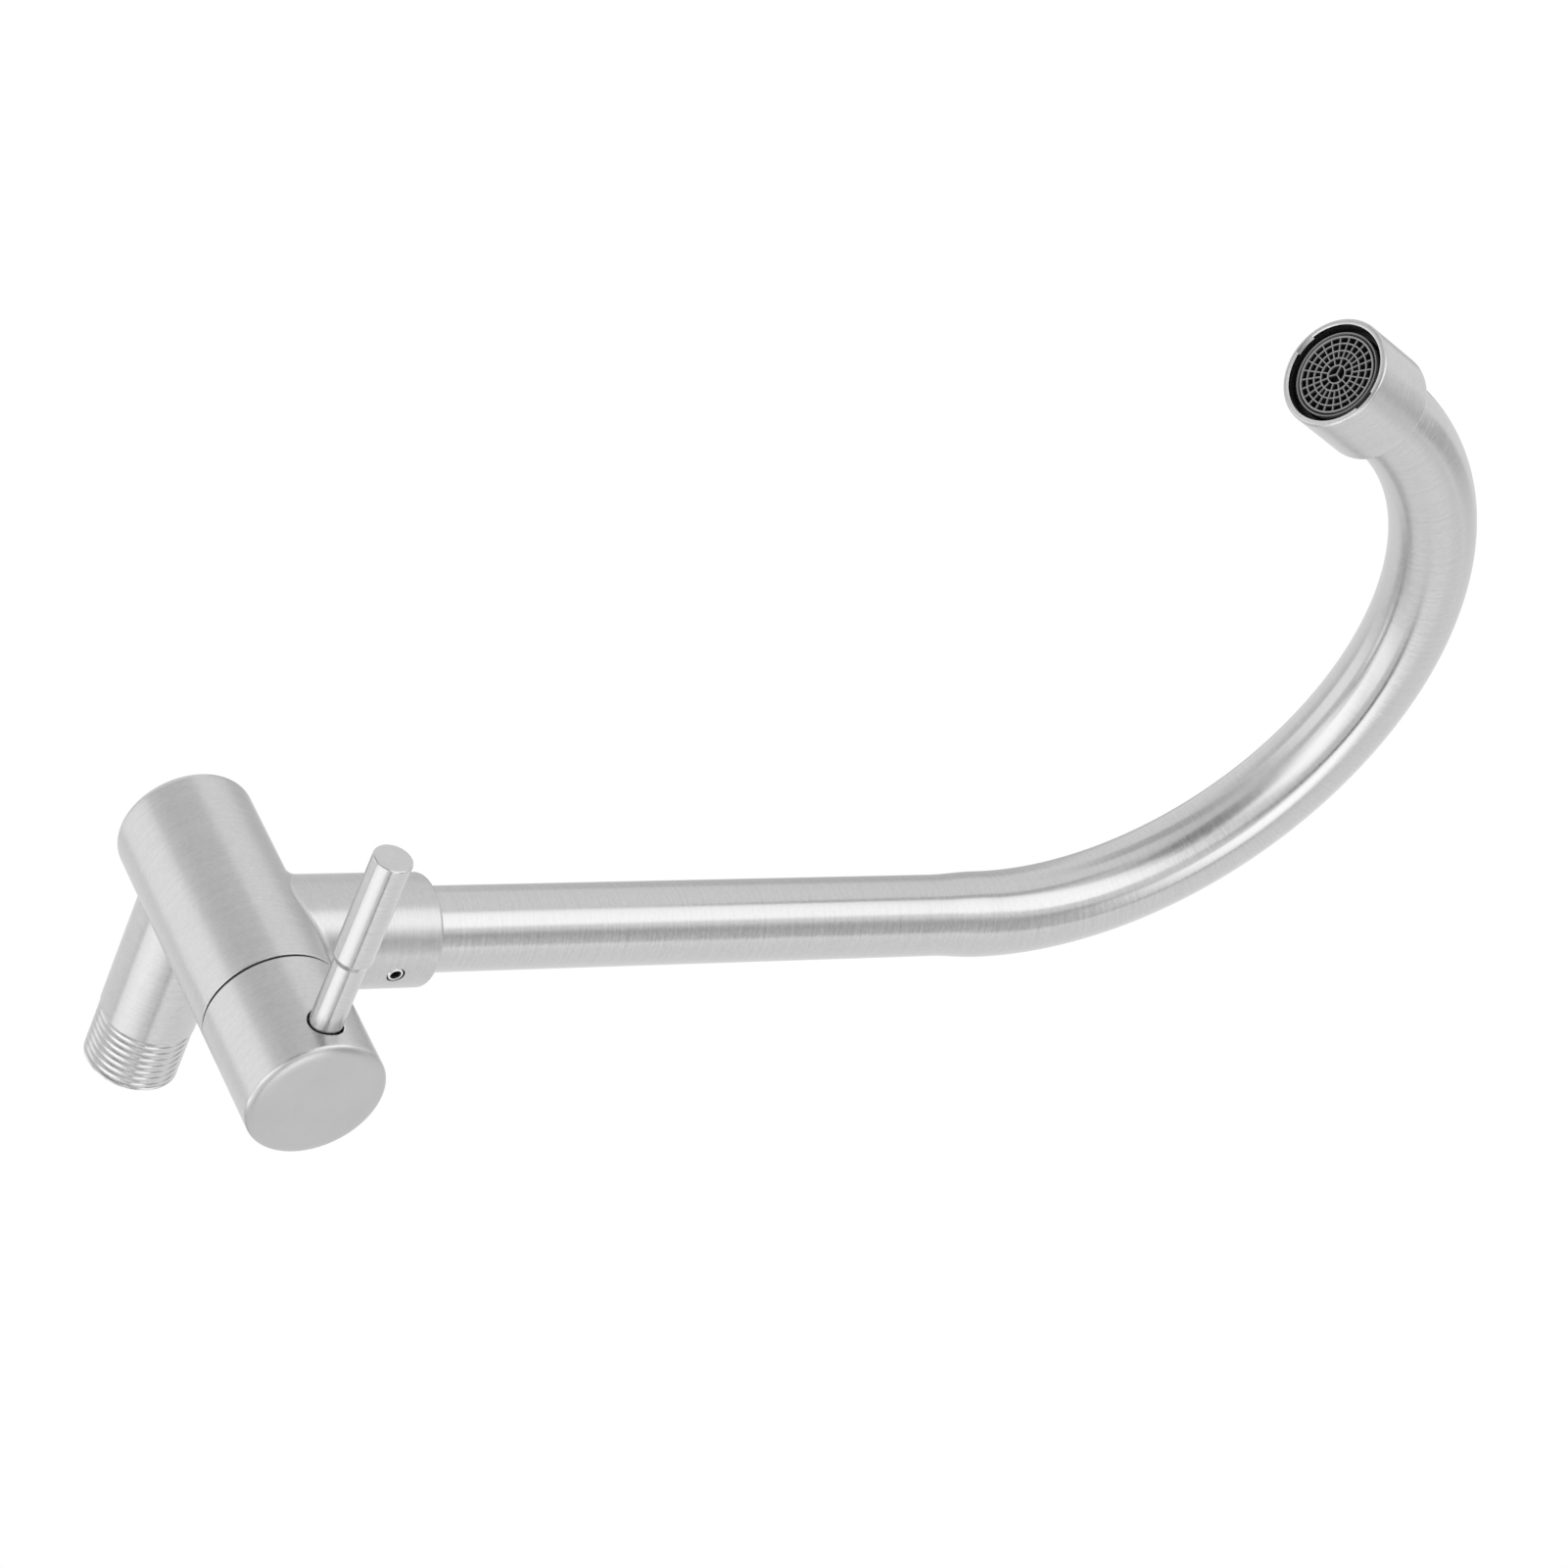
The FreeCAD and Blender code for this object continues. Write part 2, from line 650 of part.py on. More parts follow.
def aerator_housing():
    """The threaded ring that holds the insert, with a lip inside and two coin slots across its rim."""
    thread_r = ring_thread_r
    mouth_r = ring_mouth_r
    seat_r = ring_seat_r
    mouth_start = sleeve_front - ring_mouth_depth
    lip_r = insert_r + open_gap
    first = insert_start + fit_gap
    solid = turned([(first, seat_r), (first, thread_r), (sleeve_front, thread_r), (sleeve_front, mouth_r),
                    (mouth_start, mouth_r), (mouth_start, lip_r), (lip_start, lip_r), (lip_start, seat_r)],
                   FreeCAD.Placement())
    slot = Part.makeBox(4 * sleeve_r, slot_width, 2 * slot_depth,
                        V(-2 * sleeve_r, -slot_width / 2, sleeve_front - slot_depth))
    slot.rotate(V(0, 0, 0), V(0, 0, 1), slot_turn)
    solid = solid.cut(slot)
    solid.Placement = on_outlet_axis()
    return solid


def aerator_washer():
    """The flat rubber washer between the sleeve's seat and the insert."""
    bore_r = insert_flange_r - washer_width
    return ring(sleeve_seat, insert_start, bore_r, insert_flange_r, on_outlet_axis())


def aerator_body():
    """The insert's plastic shell, held by its flange behind the threaded ring's lip."""
    return turned([(insert_start, insert_bore_r), (insert_start, insert_flange_r),
                   (lip_start, insert_flange_r), (lip_start, insert_r), (insert_end, insert_r),
                   (insert_end, insert_bore_r)], on_outlet_axis())


def aerator_diffuser():
    """The jet plate that splits the stream, with two circles of holes."""
    plate = rod(diffuser_start, spacer_start, 2 * insert_bore_r, FreeCAD.Placement())
    height = diffuser_thickness + 2 * overcut
    for circle_r, count in zip(diffuser_circle_radii, diffuser_hole_counts):
        for i in range(count):
            a = 2 * pi * i / count
            foot = V(circle_r * cos(a), circle_r * sin(a), diffuser_start - overcut)
            plate = plate.cut(Part.makeCylinder(diffuser_hole_d / 2, height, foot))
    plate.Placement = on_outlet_axis()
    return plate


def aerator_spacer():
    """The ring that keeps the jet plate off the mesh."""
    return ring(spacer_start, mesh_start, insert_bore_r - spacer_wall, insert_bore_r, on_outlet_axis())


def aerator_mesh():
    """The mesh disc behind the grille."""
    return rod(mesh_start, grille_start, 2 * insert_bore_r, on_outlet_axis())


def grille_face():
    """The grille's outline with one hole for each cell, between the ring walls and the radial ribs."""
    half_rib = rib_width / 2
    walls = (rib_width - half_rib,) + grille_ring_radii + (grille_rim_r - grille_rim_wall + half_rib,)
    holes = []
    for number, count in enumerate(grille_cell_counts):
        turn = radians(spoke_turn if number == 0 else rib_turn)
        for i in range(count):
            start = turn + 2 * pi * i / count
            end = start + 2 * pi / count
            inner_r = walls[number] + half_rib
            outer_r = walls[number + 1] - half_rib
            holes.append(cell_wire(inner_r, outer_r, start, end, half_rib))
    outer = Part.Wire(Part.makeCircle(grille_rim_r, V(0, 0, grille_start)))
    return Part.makeFace([outer] + holes, "Part::FaceMakerBullseye")


def cell_wire(inner_r, outer_r, start, end, half_rib):
    """One cell's outline: two arcs and two straight sides that run parallel to the ribs."""
    def at(r, a, side):
        shift = side * half_rib / r
        return V(r * cos(a + shift), r * sin(a + shift), grille_start)

    middle = (start + end) / 2
    corners = [at(outer_r, start, 1), at(outer_r, end, -1), at(inner_r, end, -1), at(inner_r, start, 1)]
    outer = Part.Arc(corners[0], at(outer_r, middle, 0), corners[1]).toShape()
    inner = Part.Arc(corners[2], at(inner_r, middle, 0), corners[3]).toShape()
    far_side = Part.makeLine(corners[1], corners[2])
    near_side = Part.makeLine(corners[3], corners[0])
    return Part.Wire([outer, far_side, inner, near_side])


def aerator_grille():
    """The outlet grille: a grid of rings and ribs on a foot that seats in the shell behind a groove."""
    grid = grille_face().extrude(V(0, 0, grille_thickness))
    foot_end = insert_end - grille_rabbet_depth
    foot = ring(grille_start, foot_end, grille_rim_r - fit_gap, insert_bore_r, FreeCAD.Placement())
    solid = grid.fuse(foot).removeSplitter()
    solid.Placement = on_outlet_axis()
    return solid


def write(name, shape):
    """Writes one piece to its own file and prints a short line about it."""
    shape.exportStep("parts/" + name + ".step")
    print(name, "valid", shape.isValid(), "solids", len(shape.Solids), "volume", round(shape.Volume, 1))


os.makedirs("parts", exist_ok=True)
write("valve_body", valve_body())
write("inlet_pipe", inlet_pipe())
write("spout_grub_screw", spout_grub_screw())
write("slide_ring", slide_ring())
write("cartridge_housing", cartridge_housing())
write("flange_o_ring", flange_o_ring())
write("seat_seal", seat_seal())
write("fixed_disc", fixed_disc())
write("moving_disc", moving_disc())
write("spindle", spindle())
write("thrust_washer", thrust_washer())
write("spindle_clip", spindle_clip())
write("spindle_o_ring_inner", stem_o_ring(0))
write("spindle_o_ring_outer", stem_o_ring(1))
write("handle_hub", handle_hub())
write("hub_adaptor", hub_adaptor())
write("lever_rod", lever_rod())
write("spout_tube", spout_tube())
write("swivel_bush", swivel_bush())
write("swivel_o_ring_lower", swivel_o_ring(0))
write("swivel_o_ring_upper", swivel_o_ring(1))
write("outlet_sleeve", outlet_sleeve())
write("aerator_housing", aerator_housing())
write("aerator_washer", aerator_washer())
write("aerator_body", aerator_body())
write("aerator_diffuser", aerator_diffuser())
write("aerator_spacer", aerator_spacer())
write("aerator_mesh", aerator_mesh())
write("aerator_grille", aerator_grille())
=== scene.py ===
import bmesh
import bpy
import numpy as np
from mathutils import Matrix


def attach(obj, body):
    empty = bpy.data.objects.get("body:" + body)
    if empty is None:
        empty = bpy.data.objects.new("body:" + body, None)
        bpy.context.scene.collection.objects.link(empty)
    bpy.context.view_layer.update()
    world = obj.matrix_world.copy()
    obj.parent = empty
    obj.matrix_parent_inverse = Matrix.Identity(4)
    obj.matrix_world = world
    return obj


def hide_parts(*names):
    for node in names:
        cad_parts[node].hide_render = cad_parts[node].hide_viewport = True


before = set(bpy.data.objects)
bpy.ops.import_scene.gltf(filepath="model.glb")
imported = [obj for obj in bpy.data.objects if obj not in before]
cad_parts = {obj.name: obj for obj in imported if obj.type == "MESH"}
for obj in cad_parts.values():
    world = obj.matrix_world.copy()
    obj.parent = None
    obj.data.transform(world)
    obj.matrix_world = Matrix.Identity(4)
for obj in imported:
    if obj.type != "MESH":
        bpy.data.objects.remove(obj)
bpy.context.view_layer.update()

# Inlet pipe. A drawn stainless tube, cut to a saddle and joined to the back of the valve cylinder.
# Its free end carries the outside thread that screws into the wall fitting.
# Sizes are in millimetres in every section, and a mesh is scaled to metres when it is made.
axis_y = -42.0
barrel_r = 15.0
pipe_r = 10.65
pipe_bore_r = 7.5
thread_r = 10.4775
thread_depth = 0.55
thread_pitch = 1.814
thread_end = 14.4
thread_tip = 0.5
thread_runout = 0.7
saddle_overlap = 0.2
crease = np.radians(32.0)
points_per_mm = 5000
to_metres = 0.001
line_scales = (2400.0, 70.0, 70.0)
speck_scales = (1600.0, 900.0, 900.0)
noise_low, noise_high = 0.3, 0.7
line_contrast = 0.085
line_relief = 0.04


def skin(points, straight, lengths, material=0, closed=True):
    """A sheet of the piece: a grid of points, closed across its columns unless it is told otherwise.

    straight holds the same points with the piece's axis laid straight, for the brush lines.
    lengths holds the distance run along the sheet, row by row, for the direction of the brushing.
    """
    rows, columns = points.shape[:2]
    row = np.arange(rows - 1)[:, None]
    column = np.arange(columns if closed else columns - 1)[None, :]
    after = (column + 1) % columns
    first = row * columns + column
    second = row * columns + after
    faces = np.stack([first, second, second + columns, first + columns], -1).reshape(-1, 4)
    around = np.broadcast_to(np.arange(columns) / columns, (rows, columns))
    along = np.broadcast_to(np.reshape(lengths, (rows, -1)), (rows, columns))
    laid = np.stack([along, around], -1)
    return {"points": points.reshape(-1, 3), "straight": straight.reshape(-1, 3), "faces": faces,
            "laid": laid.reshape(-1, 2), "material": material}


def made_piece(name, skins, materials, body, node):
    """One mesh from its sheets: shared points are merged, empty faces dropped and sides turned out."""
    points, straight, laid = [np.concatenate([sheet[part] for sheet in skins])
                              for part in ("points", "straight", "laid")]
    offsets = np.cumsum([0] + [len(sheet["points"]) for sheet in skins[:-1]])
    quads = np.concatenate([sheet["faces"] + offset for sheet, offset in zip(skins, offsets)])
    kinds = np.concatenate([np.full(len(sheet["faces"]), sheet["material"]) for sheet in skins])
    places = np.round(points * points_per_mm).astype(np.int64)
    first, merged = np.unique(places, axis=0, return_index=True, return_inverse=True)[1:]
    welded = merged.reshape(-1)[quads]
    same = welded == np.roll(welded, -1, axis=1)
    whole, narrow = same.sum(1) == 0, same.sum(1) == 1
    kept = (same[narrow].argmax(1)[:, None] + [1, 2, 3]) % 4
    triangles = np.take_along_axis(welded[narrow], kept, 1)
    faces = welded[whole].tolist() + triangles.tolist()
    narrow_corners = np.take_along_axis(quads[narrow], kept, 1)
    corners = np.concatenate([quads[whole].ravel(), narrow_corners.ravel()])
    face_kinds = np.concatenate([kinds[whole], kinds[narrow]]).astype(np.int32)
    mesh = bpy.data.meshes.new(name)
    mesh.from_pydata((points[first] * to_metres).tolist(), [], faces)
    mesh.polygons.foreach_set("material_index", face_kinds)
    laid_corners = laid[corners] * (to_metres, 1)
    mesh.uv_layers.new(name="laid").uv.foreach_set("vector", laid_corners.reshape(-1))
    lines = mesh.attributes.new("straight", "FLOAT_VECTOR", "POINT")
    lines.data.foreach_set("vector", (straight[first] * to_metres).reshape(-1))
    shell = bmesh.new()
    shell.from_mesh(mesh)
    bmesh.ops.recalc_face_normals(shell, faces=shell.faces)
    shell.to_mesh(mesh)
    shell.free()
    mesh.shade_smooth()
    mesh.set_sharp_from_angle(angle=crease)
    for material in materials:
        mesh.materials.append(material)
    piece = bpy.data.objects.new(name, mesh)
    bpy.context.scene.collection.objects.link(piece)
    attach(piece, body)
    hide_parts(node)


def shader_node(tree, kind, inputs, **settings):
    """A node with its settings, and with each input either filled in or joined to another node."""
    made = tree.nodes.new(kind)
    for key, value in settings.items():
        setattr(made, key, value)
    for key, value in inputs.items():
        if isinstance(value, bpy.types.NodeSocket):
            tree.links.new(value, made.inputs[key])
        else:
            made.inputs[key].default_value = value
    return made


def worked(tree, operation, *values):
    """A sum, product, larger value or sine of values in a material."""
    return shader_node(tree, "ShaderNodeMath", dict(enumerate(values)), operation=operation).outputs[0]


def ranged(tree, value, start, end, low, high, **settings):
    """A value taken from the range start to end over to the range low to high."""
    inputs = {"Value": value, "From Min": start, "From Max": end, "To Min": low, "To Max": high}
    return shader_node(tree, "ShaderNodeMapRange", inputs, **settings).outputs[0]


def streaks(tree, source, scales, detail):
    """Noise that is stretched by a scale of its own on each axis."""
    spread = shader_node(tree, "ShaderNodeMapping", {"Vector": source, "Scale": scales}).outputs[0]
    inputs = {"Vector": spread, "Scale": 1.0, "Detail": detail, "Roughness": 0.6}
    return shader_node(tree, "ShaderNodeTexNoise", inputs).outputs[0]


def varied(tree, noise, middle, swing):
    """A value that swings about its middle with a noise."""
    return ranged(tree, noise, noise_low, noise_high, middle - swing, middle + swing)


def bare_finish(name, constants):
    """A new material, its node tree and its shader, with constants set on the shader's own sockets."""
    material = bpy.data.materials.new(name)
    material.use_nodes = True
    shader = material.node_tree.nodes["Principled BSDF"]
    for socket, value in constants.items():
        shader.inputs[socket].default_value = value
    return material, material.node_tree, shader


def join_finish(tree, shader, tone, sheen, height, strength, depth):
    """Joins a tone, a sheen and a relief of some depth in millimetres to a shader."""
    inputs = {"Strength": strength, "Distance": depth * to_metres, "Height": height}
    relief = shader_node(tree, "ShaderNodeBump", inputs)
    for value, socket in ((tone, "Base Color"), (sheen, "Roughness"), (relief.outputs[0], "Normal")):
        tree.links.new(value, shader.inputs[socket])


def straight_place(tree):
    """The place on a piece whose axis is laid straight."""
    return shader_node(tree, "ShaderNodeAttribute", {}, attribute_name="straight").outputs["Vector"]


def brushed_steel(name, tone, roughness, stretch, grain):
    """Stainless steel rubbed round its axis: fine lines and specks in tone and sheen, lines in relief.

    stretch draws its gloss out across the lines, and grain says how strongly the lines show.
    """
    material, tree, shader = bare_finish(name, {"Metallic": 1.0, "Anisotropic": stretch})
    place = straight_place(tree)
    lines = streaks(tree, place, line_scales, 1.0)
    specks = streaks(tree, place, speck_scales, 1.0)
    mean = worked(tree, "MULTIPLY", worked(tree, "ADD", lines, specks), 0.5)
    join_finish(tree, shader, varied(tree, mean, tone, line_contrast * grain),
                varied(tree, mean, roughness, 0.03), lines, 0.6, line_relief * grain ** 2)
    direction = shader_node(tree, "ShaderNodeTangent", {}, direction_type="UV_MAP", uv_map="laid")
    tree.links.new(direction.outputs[0], shader.inputs["Tangent"])
    return material


def thread_height(turns, y):
    """The thread's radius: r - depth * (1 - |cos(pi * turns)|), a worn round crest over a V.

    The depth fades over the run-out at both ends.
    """
    from_tip = thread_end - thread_tip - y
    fade = np.clip(y / thread_runout, 0, 1) * np.clip(from_tip / thread_runout, 0, 1)
    return thread_r - thread_depth * (1 - np.abs(np.cos(np.pi * turns))) * fade ** 0.5


def inlet_skins(columns=144, steps=20):
    """The pipe from its saddle to the thread's tip and back through its bore.

    The thread's rows follow its helix, y = pitch * (turns + t / 2 pi), and are cut off at both ends.
    """
    t = np.arange(columns)[None, :] * 2 * np.pi / columns
    around = np.arange(columns + 1)[None, :] * 2 * np.pi / columns

    def rows(y, r, t=t, material=0, closed=True):
        """A sheet of points (r cos t, y, r sin t)."""
        y, r = np.broadcast_arrays(y + 0 * t, r + 0 * t)
        points = np.stack([r * np.cos(t), y, r * np.sin(t)], -1)
        straight = np.stack([y, r * np.cos(t), r * np.sin(t)], -1)
        return skin(points, straight, np.abs(y - y[0]).max(1), material, closed)

    def saddle(r):
        """Where the pipe meets the cylinder: sqrt(barrel^2 - (r sin t)^2) off the cylinder's axis."""
        return axis_y + np.sqrt(barrel_r ** 2 - (r * np.sin(t)) ** 2) - saddle_overlap

    along = np.linspace(0, 1, 9)[:, None]
    plain = rows(saddle(pipe_r) * (1 - along), pipe_r)
    step = rows(0.0, np.array([[pipe_r], [thread_r]]), material=1)
    tip_y = thread_end - thread_tip
    turns = np.arange(-steps, int(tip_y / thread_pitch * steps) + steps + 1)[:, None] / steps
    cut_y = np.clip(thread_pitch * (turns + around / (2 * np.pi)), 0, tip_y)
    cut_r = thread_height(cut_y / thread_pitch - around / (2 * np.pi), cut_y)
    winding = rows(cut_y, cut_r, around, 1, False)
    ends = along[[0, -1]]
    bevel = rows(tip_y + thread_tip * ends, thread_r - thread_tip * ends, material=1)
    face = rows(thread_end, np.array([[thread_r - thread_tip], [pipe_bore_r]]))
    bore = rows(np.concatenate([thread_end + 0 * t, saddle(pipe_bore_r)]), pipe_bore_r)
    foot = rows(np.concatenate([saddle(pipe_bore_r), saddle(pipe_r)]), np.array([[pipe_bore_r], [pipe_r]]))
    return [plain, step, winding, bevel, face, bore, foot]


pipe_steel = brushed_steel("brushed pipe", 0.575, 0.30, 0.7, 0.5)
thread_steel = brushed_steel("cut thread", 0.60, 0.26, 0.3, 0.3)
made_piece("inlet_pipe_threaded", inlet_skins(), [pipe_steel, thread_steel], "body", "inlet_pipe")

# Valve body. A solid stainless cylinder with the spout's socket blended onto it, turned and then
# rubbed round both axes. The weld between them is dressed to a smooth hollow curve.
body_back = -13.4
body_front = 42.7
body_edge = 2.2
front_edge = 0.22
mouth_r = 11.9775
cartridge_thread_r = 10.4775
socket_x = 21.0
socket_r = 12.25
socket_top = 42.2
socket_edge = 1.0
socket_bore_r = 9.33
weld_r = 2.5
grub_z = 32.7
grub_hole_r = 2.0
grub_edge = 0.04
grub_angle = np.radians(7.0)
grub_hole_depth = 2.8
ring_recess = 1.7
mouth_depth = 12.0
socket_bore_depth = 20.0
socket_mouth_edge = 0.25
around_cylinder = 120
barrel_rows, barrel_columns = 28, 44
weld_field = 17.0
weld_rows = 13
weld_run = 3.5
socket_low = 27.0
grub_rows, grub_columns = 14, 14
grub_field = 3.6
foot_rows = 7
opening_shares = (0, 0.03, 0.12, 0.3, 0.5, 0.75, 1)


def outline(corners, step=7.5):
    """A line through corners, each given as (place on the axis, radius, rounding).

    A rounded corner becomes an arc tangent to both runs: c + rounding * (cos t, sin t) from its centre c.
    """
    spots = np.array([corner[:2] for corner in corners], float)
    found = [spots[0]]
    for before, spot, after, corner in zip(spots[:-2], spots[1:-1], spots[2:], corners[1:-1]):
        rounding = corner[2]
        if rounding == 0:
            found.append(spot)
            continue
        into = (spot - before) / np.linalg.norm(spot - before)
        out = (after - spot) / np.linalg.norm(after - spot)
        turn = np.arctan2(into[0] * out[1] - into[1] * out[0], into @ out)
        reach = rounding * np.tan(abs(turn) / 2)
        inward = np.sign(turn) * np.array([-into[1], into[0]])
        centre = spot - into * reach + inward * rounding
        count = int(np.ceil(np.degrees(abs(turn)) / step)) + 1
        t = np.linspace(0, turn, count)[:, None]
        found.append(spot - into * (reach + rounding / 8))
        found.extend(centre + rounding * (-inward * np.cos(t) + into * np.sign(turn) * np.sin(t)))
        found.append(spot + out * (reach + rounding / 8))
    found.append(spots[-1])
    return np.array(found)


def run_lengths(line):
    """The distance run along a line, from its start to each of its points."""
    return np.concatenate([[0.0], np.cumsum(np.linalg.norm(np.diff(line, axis=0), axis=1))])


def turned(line, origin, axis, side, columns=144, material=0):
    """A sheet turned about an axis: origin + a * axis + r * (side * cos t + (axis x side) * sin t)."""
    origin, axis, side = np.array(origin), np.array(axis), np.array(side)
    across = np.cross(axis, side)
    t = np.arange(columns) * 2 * np.pi / columns
    a = line[:, 0, None, None]
    r = line[:, 1, None, None]
    cos, sin = np.cos(t)[None, :, None], np.sin(t)[None, :, None]
    points = origin + a * axis + r * (cos * side + sin * across)
    straight = np.concatenate([a + 0 * cos, r * cos, r * sin], -1)
    return skin(points, straight, run_lengths(line), material)


def wall_with_opening(place, breadths, heights, block, opening, material=0):
    """A wall drawn as a grid of (breadth, height), with an opening inside a block of its cells.

    Rings run from the opening's edge to the block's border: edge * (1 - k) + border * k.
    block is (first column, last column, first row, last row), and opening gives the edge's
    (breadth, height) for each border point.
    """
    left, right, low, high = block
    breadth, height = np.meshgrid(breadths, heights)
    points, straight = place(breadth, height)
    sheet = skin(points, straight, np.asarray(heights, float), material)
    columns = len(breadths)
    cells = sheet["faces"].reshape(len(heights) - 1, columns, 4)
    keep = np.ones(cells.shape[:2], bool)
    keep[low:high, np.arange(left, right) % columns] = False
    sheet["faces"] = cells[keep]
    step = breadths[1] - breadths[0]
    across = breadths[0] + step * np.arange(left, right + 1)
    up = np.asarray(heights, float)[low:high + 1]
    sides = ((across[-1], up[:-1]), (across[:0:-1], up[-1]), (across[0], up[:0:-1]), (across[:-1], up[0]))
    border = np.concatenate([np.stack(np.broadcast_arrays(*side), -1) for side in sides])
    edge = opening(len(border))
    k = np.array(opening_shares)[:, None, None]
    ring = edge[None] * (1 - k) + border[None] * k
    points, straight = place(ring[..., 0], ring[..., 1])
    inner = skin(points, straight, np.zeros(len(k)), material)
    inner["laid"] = ring[..., ::-1].reshape(-1, 2) * (1, 1 / (2 * np.pi))
    return [sheet, inner]


def start_angle(rows, columns):
    """The share of a turn before the first border point, so that the opening faces its block."""
    return -rows / 2 / (2 * (rows + columns))


def on_barrel(angle, x):
    """Points of the cylinder: (x, axis + r sin t, r cos t), the angle counted from the spout's side."""
    y, z = barrel_r * np.sin(angle), barrel_r * np.cos(angle)
    return np.stack([x, axis_y + y, z], -1), np.stack([x, y, z], -1)


def weld_centres(t):
    """Centres of the ball that rolls round the corner, square to both walls.

    They lie socket + weld from the socket's axis and barrel + weld from the cylinder's.
    """
    x = (socket_r + weld_r) * np.cos(t)
    y = (socket_r + weld_r) * np.sin(t)
    return np.stack([x, y, np.sqrt((barrel_r + weld_r) ** 2 - y ** 2)], -1)


def weld_angles():
    """Even angles round the socket, counted from the last border point of the barrel's opening."""
    count = 2 * (barrel_rows + barrel_columns)
    share = np.arange(count)[::-1] / count + start_angle(barrel_rows, barrel_columns)
    return np.pi / 2 - 2 * np.pi * share


def barrel_opening(count):
    """Where the weld runs out on the barrel, as (angle, x): the ball's centre carried in to its skin."""
    centre = weld_centres(weld_angles()[::-1])
    return np.stack([np.arcsin(centre[:, 1] / (barrel_r + weld_r)), socket_x + centre[:, 0]], -1)


def weld_skin():
    """The hollow curve of the weld: centre + r * (from the barrel's direction round to the socket's)."""
    t = weld_angles()
    centre = weld_centres(t)
    to_barrel = -centre * (0, 1, 1) / (barrel_r + weld_r)
    to_socket = -np.stack([np.cos(t), np.sin(t), 0 * t], -1)
    angle = np.arccos((to_barrel * to_socket).sum(-1))[None, :, None]
    k = np.linspace(0, 1, weld_rows)[:, None, None]
    arm = (np.sin((1 - k) * angle) * to_barrel + np.sin(k * angle) * to_socket) / np.sin(angle)
    local = centre + weld_r * arm
    points = local + (socket_x, axis_y, 0)
    return skin(points, local[..., [2, 0, 1]], np.linspace(0, weld_run, weld_rows)), local[-1]


def on_socket(angle, z):
    """Points of the socket: (r cos t, r sin t, z) about the spout's axis."""
    x, y = socket_r * np.cos(angle), socket_r * np.sin(angle)
    return np.stack([socket_x + x, axis_y + y, z], -1), np.stack([z, x, y], -1)


def round_hole(centre_breadth, centre_height, radius, wall_r, first):
    """A round hole drilled square to a wall, as an opening for the wall's grid."""
    def opening(count):
        """The hole's edge: height + r sin t, and a breadth of asin(r cos t / wall)."""
        t = 2 * np.pi * (np.arange(count) / count + first)
        return np.stack([centre_breadth + np.arcsin(radius * np.cos(t) / wall_r),
                         centre_height + radius * np.sin(t)], -1)
    return opening


def hole_side(centre, outward, up, wall_r, radii, depths, count, first, material=0):
    """The side of a hole drilled square to a wall: sqrt(wall^2 - (r cos t)^2) - depth off its axis."""
    outward, up = np.array(outward), np.array(up)
    across = np.cross(up, outward)
    t = 2 * np.pi * (np.arange(count) / count + first)[None, :]
    r = np.array(radii)[:, None]
    deep = np.sqrt(wall_r ** 2 - (r * np.cos(t)) ** 2) - np.array(depths)[:, None]
    local = (deep[..., None] * outward + (r * np.cos(t))[..., None] * across
             + (r * np.sin(t))[..., None] * up)
    points = np.array(centre) + local
    return skin(points, local, np.array(depths) + 0.0, material)


def about_cylinder(line, side, material=0):
    """A sheet turned about the cylinder's axis, from a line of (x, radius)."""
    return turned(line, (0, axis_y, 0), (1.0, 0, 0), side, around_cylinder, material)


barrel_angles = (np.arange(around_cylinder) * 2 * np.pi / around_cylinder
                 - barrel_columns / 2 * 2 * np.pi / around_cylinder)
ring_floor, mouth_floor = body_front - ring_recess, body_front - mouth_depth
front_line = outline([
    (body_front - 1, barrel_r, 0), (body_front, barrel_r, front_edge), (body_front, mouth_r, 0),
    (ring_floor, mouth_r, 0), (ring_floor, cartridge_thread_r, 0), (mouth_floor, cartridge_thread_r, 0),
    (mouth_floor, 0, 0)])[1:]
weld_levels = np.linspace(socket_x - weld_field, socket_x + weld_field, barrel_rows + 1)
barrel_x = np.concatenate([[body_back + body_edge, body_back + body_edge + 0.4, -5.0], weld_levels,
                           [front_line[0, 0]]])
weld_block = (0, barrel_columns, 3, 3 + barrel_rows)
barrel_wall = wall_with_opening(on_barrel, barrel_angles, barrel_x, weld_block, barrel_opening)
weld, weld_top = weld_skin()
body_side = (0, np.sin(barrel_angles[0]), np.cos(barrel_angles[0]))
back_line = outline([
    (body_back, 0, 0), (body_back, barrel_r, body_edge), (body_back + body_edge + 1, barrel_r, 0)])[:-2]
back, front = about_cylinder(back_line, body_side), about_cylinder(front_line, body_side)

socket_angles = weld_angles()
socket_count = len(socket_angles)
rise = np.linspace(0, 1, foot_rows)[:, None]
low_z = weld_top[None, :, 2] * (1 - rise) + socket_low * rise
low_points, low_straight = on_socket(np.broadcast_to(socket_angles, low_z.shape), low_z)
socket_foot = skin(low_points, low_straight, low_z[:, 0], material=2)
socket_step = 2 * np.pi / socket_count
grub_first = int(round((grub_angle - socket_angles[0]) / socket_step)) - grub_columns // 2
grub_levels = np.linspace(grub_z - grub_field, grub_z + grub_field, grub_rows + 1)
socket_z = np.concatenate([
    [socket_low], grub_levels, [socket_top - socket_edge - 0.2, socket_top - socket_edge]])
grub_start = start_angle(grub_rows, grub_columns)
grub_count = 2 * (grub_rows + grub_columns)
grub_mouth_r = grub_hole_r + grub_edge
grub_block = (grub_first, grub_first + grub_columns, 1, 1 + grub_rows)
